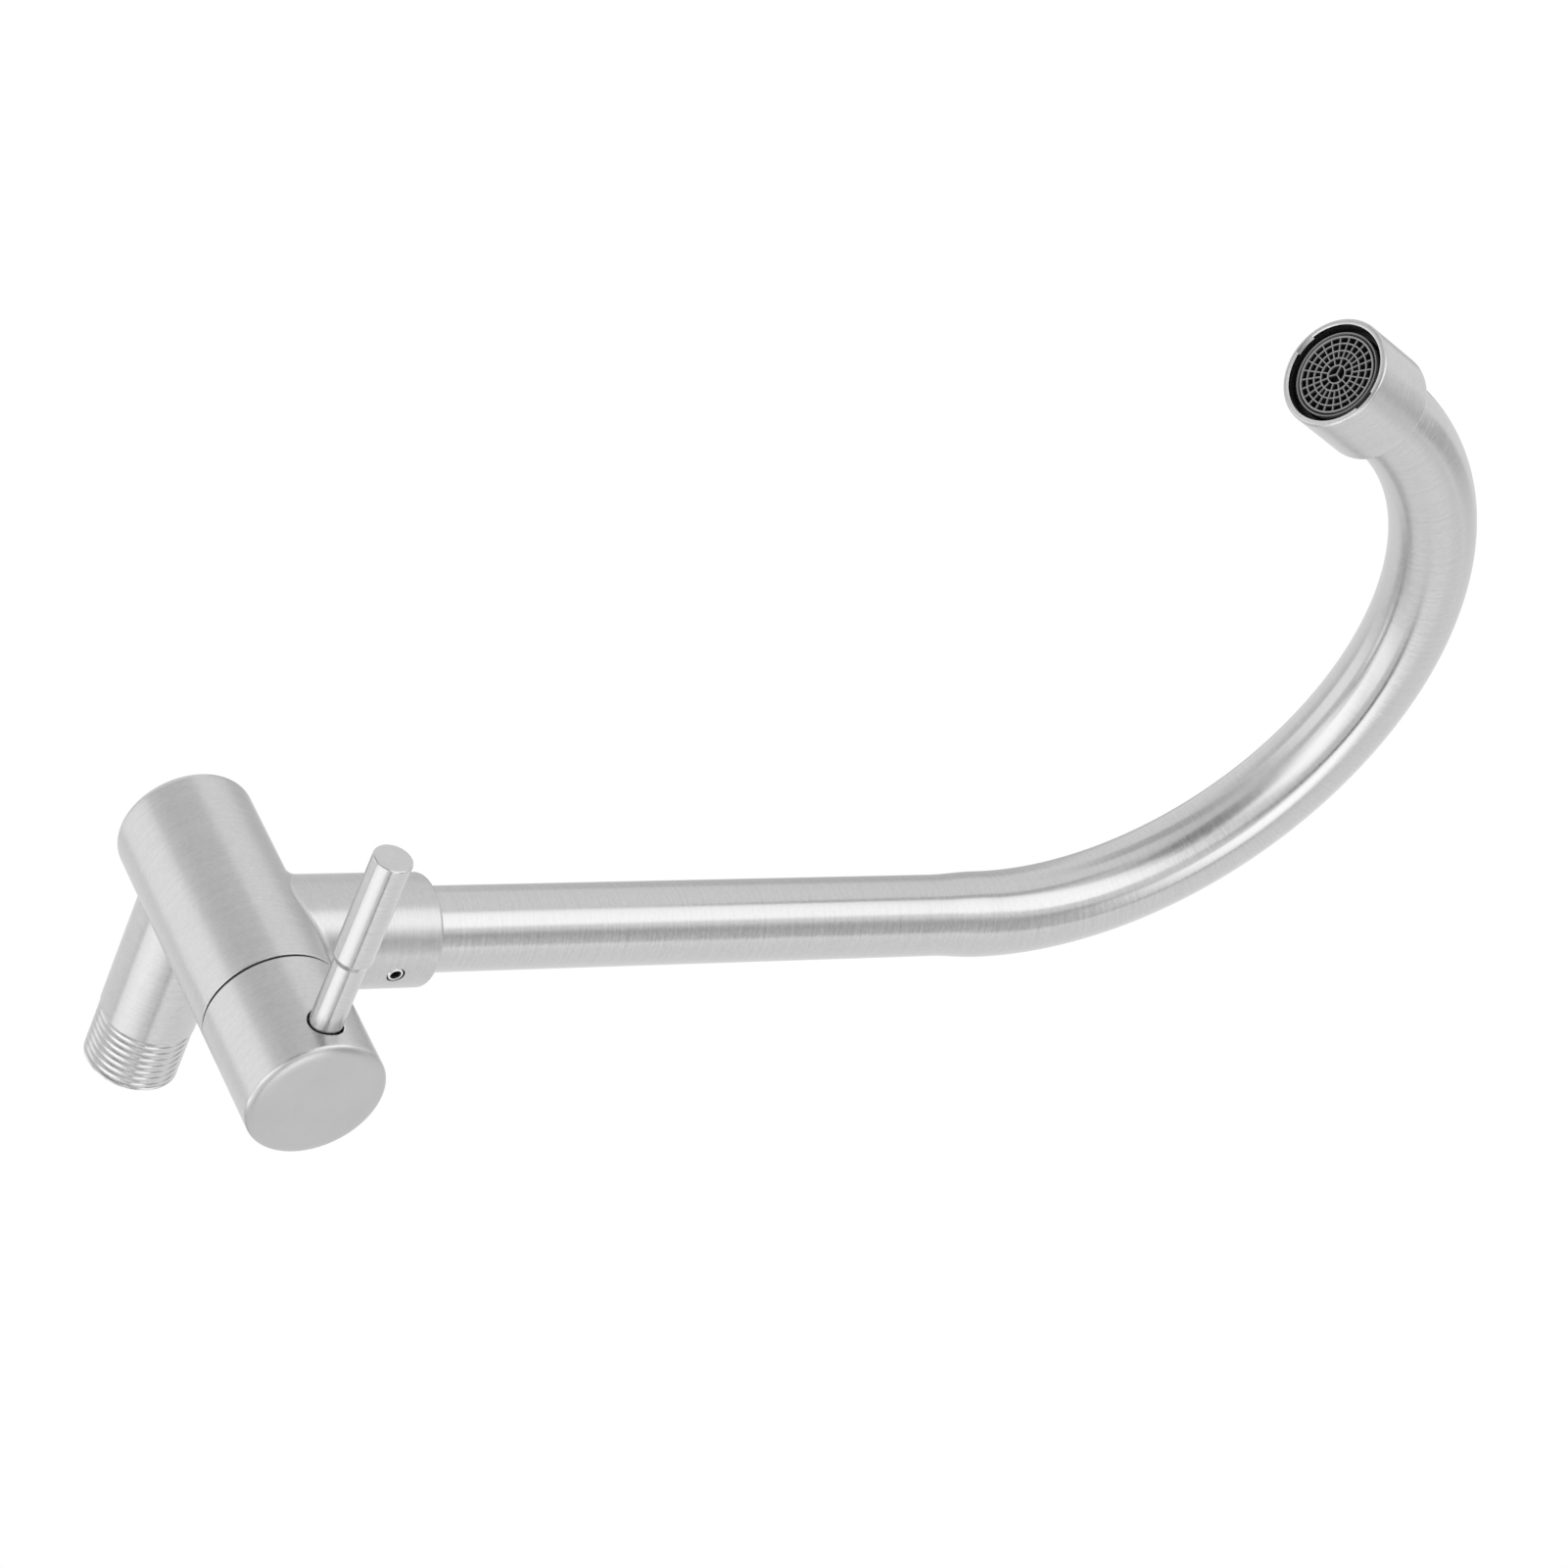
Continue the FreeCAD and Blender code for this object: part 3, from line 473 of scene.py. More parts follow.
grub_opening = round_hole(grub_angle, grub_z, grub_mouth_r, socket_r, grub_start)
socket_wall = wall_with_opening(on_socket, socket_angles, socket_z, grub_block, grub_opening, material=2)
grub_out = (np.cos(grub_angle), np.sin(grub_angle), 0)
# The side of the grub screw's hole takes the painted shade.
grub_hole = hole_side((socket_x, axis_y, grub_z), grub_out, (0, 0, 1.0), socket_r,
                      (grub_mouth_r, grub_hole_r, grub_hole_r), (0, grub_edge, grub_hole_depth),
                      grub_count, grub_start, material=1)
socket_floor = socket_top - socket_bore_depth
top_line = outline([
    (socket_top - socket_edge - 1, socket_r, 0), (socket_top, socket_r, socket_edge),
    (socket_top, socket_bore_r, socket_mouth_edge), (socket_floor, socket_bore_r, 0),
    (socket_floor, 0, 0)])[2:]
socket_side = (np.cos(socket_angles[0]), np.sin(socket_angles[0]), 0)
socket_mouth = turned(top_line, (socket_x, axis_y, 0), (0, 0, 1.0), socket_side, socket_count,
                      material=2)


def own_place(tree):
    """The place on the piece itself, in its Object coordinates."""
    return shader_node(tree, "ShaderNodeTexCoord", {}).outputs["Object"]


def grained(name, constants, scales, tone, tone_swing, roughness, sheen_swing, strength, depth):
    """A finish whose tone, sheen and relief all follow one grain in the piece's own place."""
    material, tree, shader = bare_finish(name, constants)
    grain = streaks(tree, own_place(tree), scales, 3.0)
    join_finish(tree, shader, varied(tree, grain, tone, tone_swing),
                varied(tree, grain, roughness, sheen_swing), grain, strength, depth)
    return material


def painted_shade_finish(name, tone, roughness):
    """A dark, slightly uneven finish that paints shade into recesses, holes and mouths."""
    return grained(name, {"Specular IOR Level": 0.3}, (2200.0, 2200.0, 2200.0), tone, tone * 0.3,
                   roughness, 0.06, 0.3, 0.02)


body_steel = brushed_steel("brushed body", 0.59, 0.33, 0.55, 0.5)
# Painted shade: a near-black tone for the insides of holes and sockets.
recess_painted_shade = painted_shade_finish("painted shade in recesses", 0.012, 0.5)
# Painted shade: the socket is the body's steel with a lower tone.
socket_steel_painted_shade = brushed_steel("brushed socket with painted shade", 0.545, 0.33, 0.6, 0.5)
body_skins = [*barrel_wall, back, front, weld, socket_foot, *socket_wall, grub_hole, socket_mouth]
made_piece("valve_body_blended", body_skins, [body_steel, recess_painted_shade, socket_steel_painted_shade], "body", "valve_body")

# Grub screw. A bright steel screw set in the socket's side, whose end runs in the swivel's groove and
# keeps the spout on. Its hexagon socket and the inside of its hole are dark with painted shade.
grub_recess = 0.12
grub_chamfer = 0.3
hexagon_flats = 2.0
hexagon_mouth_r = 1.26
hexagon_cone = 0.3
hexagon_depth = 1.8
grub_r = 1.93
grub_length = 3.0
grub_head = socket_r - grub_recess


def bright_steel(name, tone, roughness):
    """Polished or plated steel with faint hairlines in tone, sheen and relief."""
    return grained(name, {"Metallic": 1.0}, (900.0, 900.0, 4200.0), tone, 0.03,
                   roughness, roughness * 0.3, 0.1, 0.01)


def hexagon_ring(places, radii, shares, columns=48, material=0):
    """Rings that change from a circle to a hexagon: r = radius * (1 - share) + share * flats / (2 cos a).

    a is the angle off the middle of the nearest flat.
    """
    t = np.arange(columns) * 2 * np.pi / columns
    off_flat = (t + np.pi / 6) % (np.pi / 3) - np.pi / 6
    share = np.array(shares)[:, None]
    r = np.array(radii)[:, None] * (1 - share) + share * hexagon_flats / 2 / np.cos(off_flat)
    out, up = np.array(grub_out), np.array([0, 0, 1.0])
    local = (np.array(places)[:, None, None] * out + (r * np.cos(t))[..., None] * up
             + (r * np.sin(t))[..., None] * np.cross(out, up))
    return skin(np.array([socket_x, axis_y, grub_z]) + local, local, np.array(places, float), material)


grub_foot = grub_head - grub_length
grub_line = ((grub_foot, 0.0, 0), (grub_foot, grub_r, 0), (grub_head - grub_chamfer, grub_r, 0),
             (grub_head, grub_r - grub_chamfer, 0), (grub_head, hexagon_mouth_r, 0))
grub_top = hexagon_ring(*zip(*grub_line))
hexagon_floor = grub_head - hexagon_depth
# The hexagon socket takes the painted shade.
grub_socket = hexagon_ring((grub_head, grub_head - hexagon_cone, hexagon_floor, hexagon_floor),
                           (hexagon_mouth_r, 0, 0, 0), (0, 1, 1, 0), material=1)
grub_steel = bright_steel("bright grub screw", 0.80, 0.12)
made_piece("spout_grub_screw_head", [grub_top, grub_socket], [grub_steel, recess_painted_shade], "body",
           "spout_grub_screw")

# Handle hub. A hollow stainless cap of the cylinder's own diameter, with a rounded face and a
# round hole in its side for the lever. It turns with the lever, a hair's breadth off the cylinder.
hub_rear = 43.1
hub_rear_edge = 0.3
hub_front = 70.2
hub_wall = 2.0
hub_bore_r = barrel_r - hub_wall
hub_edge, hub_crown = 1.6, 3.5
hub_floor = 68.0
lever_x = 62.1
lever_hole_r = 3.85
lever_hole_edge = 0.25
hole_edge_in, hole_edge_down = 0.07, 0.12
hub_crown_points = 25
shoulder_points = 6
hole_rows, hole_columns = 16, 16
hole_field = 5.9
hub_angles = (np.arange(around_cylinder) - hole_columns / 2) * 2 * np.pi / around_cylinder
hole_levels = np.linspace(lever_x - hole_field, lever_x + hole_field, hole_rows + 1)
hub_x = np.concatenate([[hub_rear + hub_rear_edge, hub_rear + 1.0], hole_levels])
hub_side = (0, -np.cos(hub_angles[0]), np.sin(hub_angles[0]))


def on_hub(angle, x):
    """Points of the hub: (x, axis - r cos t, r sin t), the angle counted from the lever's side."""
    y, z = -barrel_r * np.cos(angle), barrel_r * np.sin(angle)
    return np.stack([x, axis_y + y, z], -1), np.stack([x, y, z], -1)


hole_start = start_angle(hole_rows, hole_columns)
hole_count = 2 * (hole_rows + hole_columns)
hole_mouth_r = lever_hole_r + lever_hole_edge
hole_opening = round_hole(0, lever_x, hole_mouth_r, barrel_r, hole_start)
hole_block = (0, hole_columns, 2, 2 + hole_rows)
hub_wall_skins = wall_with_opening(on_hub, hub_angles, hub_x, hole_block, hole_opening)
hole_edge_rings = ((hole_mouth_r, lever_hole_r + hole_edge_in, lever_hole_r),
                   (0, hole_edge_down, lever_hole_edge), 2)
# The inner wall of the lever's hole takes the painted shade, so the gap round the neck looks black.
hole_inner_rings = ((lever_hole_r, lever_hole_r), (lever_hole_edge, hub_wall), 3)
hub_hole = [hole_side((lever_x, axis_y, 0), (0, -1.0, 0), (1.0, 0, 0), barrel_r, radii, depths,
                      hole_count, hole_start, material)
            for radii, depths, material in (hole_edge_rings, hole_inner_rings)]
hub_turn = np.linspace(0, np.pi / 2, hub_crown_points)
hub_crown_line = np.stack([hub_front - hub_edge * (1 - np.sin(hub_turn)),
                           barrel_r - hub_crown * (1 - np.cos(hub_turn))], -1)
shoulder_line = np.concatenate([[(hub_x[-1], barrel_r)], hub_crown_line[:shoulder_points]])
face_line = np.concatenate([hub_crown_line[shoulder_points - 1:], [(hub_front, 0.0)]])
inside_line = np.array([(hub_rear + hub_rear_edge, barrel_r), (hub_rear, barrel_r - hub_rear_edge),
                        (hub_rear, hub_bore_r), (hub_floor, hub_bore_r), (hub_floor, 0)])
hub_ends = [about_cylinder(line, hub_side, material)
            for line, material in ((shoulder_line, 0), (face_line, 1), (inside_line, 0))]


def satin_steel(name, tone, roughness):
    """Stainless steel with an even satin grain: fine specks and faint clouds in tone, sheen and relief."""
    material, tree, shader = bare_finish(name, {"Metallic": 1.0})
    place = own_place(tree)
    grain = streaks(tree, place, (3000.0, 3000.0, 3000.0), 3.0)
    cloud = streaks(tree, place, (110.0, 110.0, 110.0), 2.0)
    mean = worked(tree, "MULTIPLY", worked(tree, "ADD", grain, cloud), 0.5)
    join_finish(tree, shader, varied(tree, mean, tone, 0.025), varied(tree, mean, roughness, 0.05),
                grain, 0.3, 0.02)
    return material


hub_steel = brushed_steel("brushed hub", 0.585, 0.33, 0.55, 0.5)
hub_face_steel = satin_steel("satin hub face", 0.505, 0.36)
made_piece("handle_hub_rounded", [*hub_wall_skins, *hub_hole, *hub_ends],
           [hub_steel, hub_face_steel, grub_steel, recess_painted_shade], "lever", "handle_hub")

# Lever. A stainless rod, turned down to a slim neck below a short cone, with its end lightly
# rounded. Its stud screws into the block inside the hub.
stud_start = 4.0
stud_r = 3.0
neck_start = 12.2
neck_r = 3.5
neck_end = 31.5
grip_start = 33.0
grip_r = 4.15
lever_tip = 58.9
neck_edge, cone_foot, cone_top, tip_edge = 0.2, 0.3, 0.5, 0.45
lever_line = outline([
    (stud_start, 0, 0), (stud_start, stud_r, 0), (neck_start, stud_r, 0), (neck_start, neck_r, neck_edge),
    (neck_end, neck_r, cone_foot), (grip_start, grip_r, cone_top), (lever_tip, grip_r, tip_edge),
    (lever_tip, 0, 0)])
lever_steel = brushed_steel("brushed lever", 0.575, 0.24, 0.7, 0.3)
lever_skin = turned(lever_line, (lever_x, axis_y, 0), (0, -1.0, 0), (0, 0, 1.0), columns=96)
made_piece("lever_rod_turned", [lever_skin], [lever_steel], "lever", "lever_rod")

# Spout. One stainless tube, straight for its riser, swelling a little before the bend, then drawn
# round two arcs of nearly the same radius. It is rubbed across its run with a belt.
riser_r = 9.25
gooseneck_r = 9.8
tube_wall = 1.5
tube_foot = 37.5
bend_start = 185.7
taper_length = 12.0
taper_points, bend_points = 13, 150
bends = ((81.0, np.radians(79.5)), (75.0, np.radians(73.2)))
spout_end = 2.9
tube_end = spout_end + 1.9


def spout_path(distance):
    """The centre line and its heading at distances from the bend's start: straight runs joined by arcs.

    On an arc the heading grows by distance / radius, and the centre by radius * its change of direction.
    """
    start = np.array([socket_x, axis_y, bend_start])
    heading = 0.0
    centre = start + np.stack([0 * distance, 0 * distance, distance], -1)
    angle = 0 * distance
    gone = 0.0

    def change(to):
        """The change of cosine and sine from the present heading to another."""
        return np.stack([0 * to, np.cos(to) - np.cos(heading), np.sin(to) - np.sin(heading)], -1)

    for radius, sweep in bends:
        past = distance > gone
        here = heading + (distance - gone) / radius
        centre = np.where(past[..., None], start + radius * change(here), centre)
        angle = np.where(past, here, angle)
        start = start + radius * change(heading + sweep)
        heading += sweep
        gone += radius * sweep
    past = distance > gone
    ahead = np.array([0, -np.sin(heading), np.cos(heading)])
    centre = np.where(past[..., None], start + (distance - gone)[..., None] * ahead, centre)
    return centre, np.where(past, heading, angle)


def carried(distances, radii, columns=144):
    """A round section carried along the spout: centre + r * (x cos t + n sin t), n square to its way."""
    centre, heading = spout_path(distances)
    n = np.stack([0 * heading, np.cos(heading), np.sin(heading)], -1)[:, None, :]
    t = np.arange(columns)[None, :, None] * 2 * np.pi / columns
    r = radii[:, None, None]
    points = centre[:, None, :] + r * (np.cos(t) * np.array([1.0, 0, 0]) + np.sin(t) * n)
    along = np.broadcast_to(distances[:, None, None], (len(distances), columns, 1))
    straight = np.concatenate([along, r * np.cos(t), r * np.sin(t)], -1)
    return skin(points, straight, distances)


bend_length = sum(radius * sweep for radius, sweep in bends)
outlet_length = bend_length + tube_end
riser_stations = np.array([
    tube_foot - bend_start, -140.0, -100.0, -60.0, -taper_length - 8, -taper_length - 1])
taper_stations = np.linspace(-taper_length, 0, taper_points)
bend_stations = np.linspace(0, bend_length, bend_points)[1:]
end_stations = np.array([bend_length + spout_end, outlet_length])
stations = np.concatenate([riser_stations, taper_stations, bend_stations, end_stations])
# The swell is an S curve: k * k * (3 - 2 k) of the way from the riser's radius to the gooseneck's.
swell = np.clip((stations + taper_length) / taper_length, 0, 1)
tube_radii = riser_r + (gooseneck_r - riser_r) * swell * swell * (3 - 2 * swell)
tube_outside = carried(stations, tube_radii)
tube_inside = carried(stations, tube_radii - tube_wall)
tube_ends = [carried(np.array([station, station]), np.array([r, r - tube_wall]))
             for station, r in ((stations[0], tube_radii[0]), (stations[-1], tube_radii[-1]))]
spout_steel = brushed_steel("brushed spout", 0.57, 0.24, 0.9, 0.36)
made_piece("spout_tube_bent", [tube_outside, tube_inside, *tube_ends], [spout_steel], "spout",
           "spout_tube")

# Outlet sleeve. A short stainless sleeve, wider than the tube and welded over its end, with a
# rounded shoulder behind and an inside thread for the aerator's ring.
sleeve_back = -0.5
sleeve_front = 18.5
sleeve_r = 12.5
sleeve_shoulder = 1.5
sleeve_rim_edge = 0.65
sleeve_thread_r = 11.7
sleeve_seat = 7.6
sleeve_cavity_r = 9.0
sleeve_floor = 1.9
outlet_place, outlet_heading = spout_path(np.array([bend_length + spout_end]))
outlet_place, outlet_heading = outlet_place[0], outlet_heading[0]
outlet_way = np.array([0, -np.sin(outlet_heading), np.cos(outlet_heading)])
outlet_side = np.array([1.0, 0, 0])
sleeve_line = outline([
    (sleeve_floor, gooseneck_r, 0), (sleeve_back, gooseneck_r, 0),
    (sleeve_back, sleeve_r, sleeve_shoulder), (sleeve_front, sleeve_r, sleeve_rim_edge),
    (sleeve_front, sleeve_thread_r, 0), (sleeve_seat, sleeve_thread_r, 0),
    (sleeve_seat, sleeve_cavity_r, 0), (sleeve_floor, sleeve_cavity_r, 0),
    (sleeve_floor, gooseneck_r, 0)])
sleeve_steel = brushed_steel("brushed sleeve", 0.575, 0.30, 0.7, 0.5)
made_piece("outlet_sleeve_rounded", [turned(sleeve_line, outlet_place, outlet_way, outlet_side)],
           [sleeve_steel], "spout", "outlet_sleeve")

# Aerator ring. A bright plated ring that screws into the sleeve and holds the insert by a lip.
# Its mouth is painted dark inside as shade, and two coin slots cross its rim for screwing it in.
ring_start = 9.3
ring_seat_r = 11.1
ring_thread_r = 11.69
lip_start = 10.2
lip_r = 10.0
mouth_start = 14.7
ring_mouth_r = 11.1
ring_mouth_edge = 0.25
ring_outer_edge = 0.04
slot_half_width = 2.3
slot_depth = 0.8
slot_floor = sleeve_front - slot_depth
slot_turn = np.radians(6.0)


def slotted(line, slot_columns=13, land_columns=84, material=0):
    """A turned sheet with two slots across it: (a, r cos t, r sin t), where a is cut to the slot's floor.

    A slot spans the angles up to asin(half width / r), and each of its walls holds two columns of points.
    """
    a, r = line[:, :1], line[:, 1:]
    half = np.arcsin(slot_half_width / r)
    slot = half * np.linspace(-1, 1, slot_columns)
    land = half + (np.pi - 2 * half) * np.linspace(0, 1, land_columns)
    t = np.concatenate([slot, land, slot + np.pi, land + np.pi], 1) + slot_turn
    cut = np.concatenate([np.ones(slot_columns, bool), np.zeros(land_columns, bool)])
    a = np.where(np.concatenate([cut, cut])[None, :], np.minimum(a, slot_floor), a)
    across = np.cross(outlet_way, outlet_side)
    points = (outlet_place + a[..., None] * outlet_way
              + (r * np.cos(t))[..., None] * outlet_side + (r * np.sin(t))[..., None] * across)
    straight = np.stack([a, r * np.cos(t), r * np.sin(t)], -1)
    return skin(points, straight, run_lengths(line), material)


rim = slotted(outline([
    (slot_floor, ring_thread_r, 0), (sleeve_front, ring_thread_r, ring_outer_edge),
    (sleeve_front, ring_mouth_r, ring_mouth_edge), (slot_floor, ring_mouth_r, 0)]))
ring_inside = slotted(np.array([
    (slot_floor, ring_mouth_r), (mouth_start, ring_mouth_r), (mouth_start, lip_r), (lip_start, lip_r)]),
    material=1)
ring_back = slotted(np.array([
    (lip_start, lip_r), (lip_start, ring_seat_r), (ring_start, ring_seat_r), (ring_start, ring_thread_r),
    (slot_floor, ring_thread_r)]))
ring_bright = bright_steel("bright aerator ring", 0.72, 0.16)
# The inside of the ring's mouth is painted near black: painted shade.
mouth_painted_shade = painted_shade_finish("painted shade in the ring's mouth", 0.02, 0.35)
made_piece("aerator_ring_slotted", [rim, ring_inside, ring_back], [ring_bright, mouth_painted_shade], "spout",
           "aerator_housing")

# Aerator insert. Its shell and its grid are moulded in grey plastic, painted darker with depth to
# nearly black down in the cells as painted shade. The grid of four rings and 87 ribs straightens the
# stream.
insert_start = 9.2
insert_flange_r = 11.0
insert_r = 9.7
insert_bore_r = 9.25
insert_end = 17.5
grille_start = 15.7
grille_rim_r = 8.95
grille_wall_r = 8.45
grille_foot = 16.6
shell_edge, shell_lip, shell_lip_edge, shell_chamfer = 0.1, 0.2, 0.04, 0.6
# Tone deep down in the cells: painted shade.
cell_painted_shade = 0.02
bar_foot, bar_crest, bar_edge = 0.21, 0.14, 0.12
rim_draft, rim_edge = 0.06, 0.1
# The rounded top of a rib, as depths below the grid's face with half its width there.
rib_crest = ((0.2, 0.14), (0.1, 0.11), (0.06, 0.04))
rib_end = 8.66
ring_radii = (2.08, 3.8, 5.5, 7.15)
rib_counts = (3, 12, 24, 24, 24)
rib_turns = (115.3, 4.7, 4.7, 4.7, 4.7)


def moulded(name, top, deep, light, roughness):
    """Moulded plastic with painted shade: its colour falls from a light tone at the outlet's face to a
    dark one below it.
    """
    material, tree, shader = bare_finish(name, {"Specular IOR Level": 0.4})
    place = straight_place(tree)
    depth = shader_node(tree, "ShaderNodeSeparateXYZ", {0: place}).outputs[0]
    grain = streaks(tree, place, (2600.0, 2600.0, 2600.0), 3.0)
    # The fall from the light tone to near black with depth is painted shade.
    depth_painted_shade = ranged(tree, depth, deep * to_metres, top * to_metres, cell_painted_shade, light)
    tone = worked(tree, "MULTIPLY", depth_painted_shade, varied(tree, grain, 1.0, 0.1))
    join_finish(tree, shader, tone, varied(tree, grain, roughness, 0.05), grain, 0.2, 0.02)
    return material


shell_line = outline([
    (insert_start, insert_bore_r, 0), (insert_start, insert_flange_r, 0), (lip_start, insert_flange_r, 0),
    (lip_start, insert_r, 0), (insert_end, insert_r, shell_edge),
    (insert_end, insert_bore_r + shell_lip, shell_lip_edge),
    (insert_end - shell_chamfer, insert_bore_r, 0), (insert_start, insert_bore_r, 0)], step=30)
shell_plastic = moulded("grey shell with painted depth shade", top=17.45, deep=15.4, light=0.26, roughness=0.36)
made_piece("aerator_shell", [turned(shell_line, outlet_place, outlet_way, outlet_side)], [shell_plastic],
           "spout", "aerator_body")


def ring_bar(r):
    """A ring of the grid: a bar with drafted sides and a rounded top, turned about the outlet's axis."""
    return outline([
        (grille_start, r - bar_foot, 0), (insert_end, r - bar_crest, bar_edge),
        (insert_end, r + bar_crest, bar_edge), (grille_start, r + bar_foot, 0),
        (grille_start, r - bar_foot, 0)], step=30)


def rib_bars():
    """All the ribs: drafted bars from radius to radius, radius * out + across * side + height * way."""
    walls = np.array((0.0, *ring_radii, rib_end))
    inner = np.repeat(walls[:-1], rib_counts)
    outer = np.repeat(walls[1:], rib_counts)
    angles = np.concatenate([np.radians(turn) + 2 * np.pi * np.arange(count) / count
                             for turn, count in zip(rib_turns, rib_counts)])
    half = [(grille_start, bar_foot)] + [(insert_end - depth, width) for depth, width in rib_crest]
    section = np.array([(height, -width) for height, width in half] + half[::-1])
    out = (np.cos(angles)[:, None] * outlet_side
           + np.sin(angles)[:, None] * np.cross(outlet_way, outlet_side))
    side = np.cross(outlet_way, out)
    reach = np.stack([inner, outer], 1)[:, :, None, None]
    height, across = section[None, None, :, :1], section[None, None, :, 1:]
    points = (outlet_place + reach * out[:, None, None, :] + across * side[:, None, None, :]
              + height * outlet_way)
    straight = np.concatenate([np.broadcast_to(height, points.shape[:-1] + (1,)), points[..., :2]], -1)
    return [skin(rib, flat, (0.0, 1.0)) for rib, flat in zip(points, straight)]


rim_bar = outline([
    (grille_start, grille_wall_r, 0), (insert_end, grille_wall_r + rim_draft, rim_edge),
    (insert_end, grille_rim_r - rim_draft, rim_edge), (grille_foot, grille_rim_r, 0),
    (grille_foot, insert_bore_r, 0), (grille_start, insert_bore_r, 0),
    (grille_start, grille_wall_r, 0)], step=30)
grid_skins = [turned(line, outlet_place, outlet_way, outlet_side, columns=96)
              for line in (rim_bar, *[ring_bar(r) for r in ring_radii])]
grid_plastic = moulded("grey grid with painted depth shade", top=17.48, deep=16.9, light=0.33, roughness=0.40)
made_piece("aerator_grid", grid_skins + rib_bars(), [grid_plastic], "spout", "aerator_grille")

# Brass pieces inside: the cartridge's housing and its stem, the block in the hub and the fitting
# in the spout's foot. All are turned from bar, and the housing is painted dark as shade where it meets the
# gap.


def coated(material, *nodes):
    """Gives pieces of the frame their finish."""
    for node in nodes:
        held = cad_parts[node].data.materials
        held.clear()
        held.append(material)


def plain_finish(name, colour, roughness, scale, contrast, metallic=0.0, relief=0.2):
    """A finish with a fine grain: noise on the piece's own place varies tone, sheen and relief."""
    material, tree, shader = bare_finish(name, {"Metallic": metallic})
    grain = streaks(tree, own_place(tree), (scale, scale, scale), 4.0)
    dark = tuple(c * (1 - contrast) for c in colour) + (1.0,)
    light = tuple(min(1.0, c * (1 + contrast)) for c in colour) + (1.0,)
    # Inputs 6 and 7 of a colour mix are its two colours, and output 2 is what they make.
    tone = shader_node(tree, "ShaderNodeMix", {"Factor": varied(tree, grain, 0.5, 0.5), 6: dark, 7: light},
                       data_type="RGBA").outputs[2]
    join_finish(tree, shader, tone, varied(tree, grain, roughness, 0.06), grain, relief, 0.03)
    return material


coated(plain_finish("turned brass", (0.78, 0.62, 0.33), 0.30, 900.0, 0.08, metallic=1.0),
       "spindle", "hub_adaptor", "swivel_bush")
# The housing's dark brown is painted shade, so the gap where it shows looks dark.
coated(plain_finish("brass darkened as painted shade", (0.16, 0.125, 0.07), 0.45, 900.0, 0.15, metallic=1.0),
       "cartridge_housing")

# Ceramic discs. Two white sintered discs, lapped flat so that they seal face to face. One stays in
# the housing, and the spindle's lugs turn the other over its ports.
coated(plain_finish("lapped ceramic", (0.88, 0.87, 0.84), 0.22, 1400.0, 0.03, relief=0.05),
       "fixed_disc", "moving_disc")

# Rubber rings and washers, moulded in black rubber and left matt. They lie in grooves and seats, and
# seal the cartridge, the swivel and the outlet.
coated(plain_finish("moulded rubber", (0.035, 0.035, 0.035), 0.62, 2200.0, 0.25, relief=0.35),
       "flange_o_ring", "seat_seal", "spindle_o_ring_inner", "spindle_o_ring_outer",
       "swivel_o_ring_lower", "swivel_o_ring_upper", "aerator_washer")

# Slippery white plastic. A washer cut from sheet between the spindle's flange and the housing, and a
# moulded ring in the socket's mouth that guides the spout.
coated(plain_finish("white plastic", (0.85, 0.85, 0.83), 0.42, 1500.0, 0.03),
       "thrust_washer", "slide_ring")

# Spring clip. A bright ring of spring steel, stamped from sheet and open on one side. It snaps into
# the spindle's groove at the housing's outer end and holds the spindle in.
coated(bright_steel("spring steel", 0.70, 0.18), "spindle_clip")

# Jet plate and spacer, moulded in grey plastic, and the fine woven mesh of steel wire that
# lies between them and the grid, painted near black as the shade deep in the outlet.
coated(plain_finish("grey plastic", (0.22, 0.22, 0.22), 0.38, 1800.0, 0.10),
       "aerator_diffuser", "aerator_spacer")


def woven(name, pitch, dark, light):
    """Fine woven wire: the larger of two sine waves at right angles sets tone, sheen and relief."""
    material, tree, shader = bare_finish(name, {"Metallic": 0.7})
    inputs = {"Vector": own_place(tree), "Rotation": (-outlet_heading, 0, 0)}
    along_outlet = shader_node(tree, "ShaderNodeMapping", inputs).outputs[0]
    sides = shader_node(tree, "ShaderNodeSeparateXYZ", {0: along_outlet}).outputs
    turns_per_metre = 2 * np.pi / (pitch * to_metres)
    waves = [worked(tree, "SINE", worked(tree, "MULTIPLY", side, turns_per_metre)) for side in sides[:2]]
    wire = worked(tree, "MAXIMUM", *waves)
    join_finish(tree, shader, ranged(tree, wire, 0.0, 1.0, dark, light),
                ranged(tree, wire, 0.0, 1.0, 0.6, 0.4), wire, 0.6, 0.05)
    return material


# The wire's near-black tones are painted shade.
coated(woven("woven wire", pitch=0.4, dark=0.008, light=0.05), "aerator_mesh")

# The room. A white surround and a pale floor well below the tap, soft boxes all round, and grey
# cards that only shiny metal sees, as in a product photographer's tent.
scene = bpy.context.scene
scene.view_settings.view_transform = "Standard"
middle = np.array([0.03, -0.10, 0.13])
panel_distance = 1.8
floor_z = -2.1
floor_reach = 8.0
floor_lift = 0.15
fade_start, fade_end = 3.0, 7.5
ambient_level = 0.7
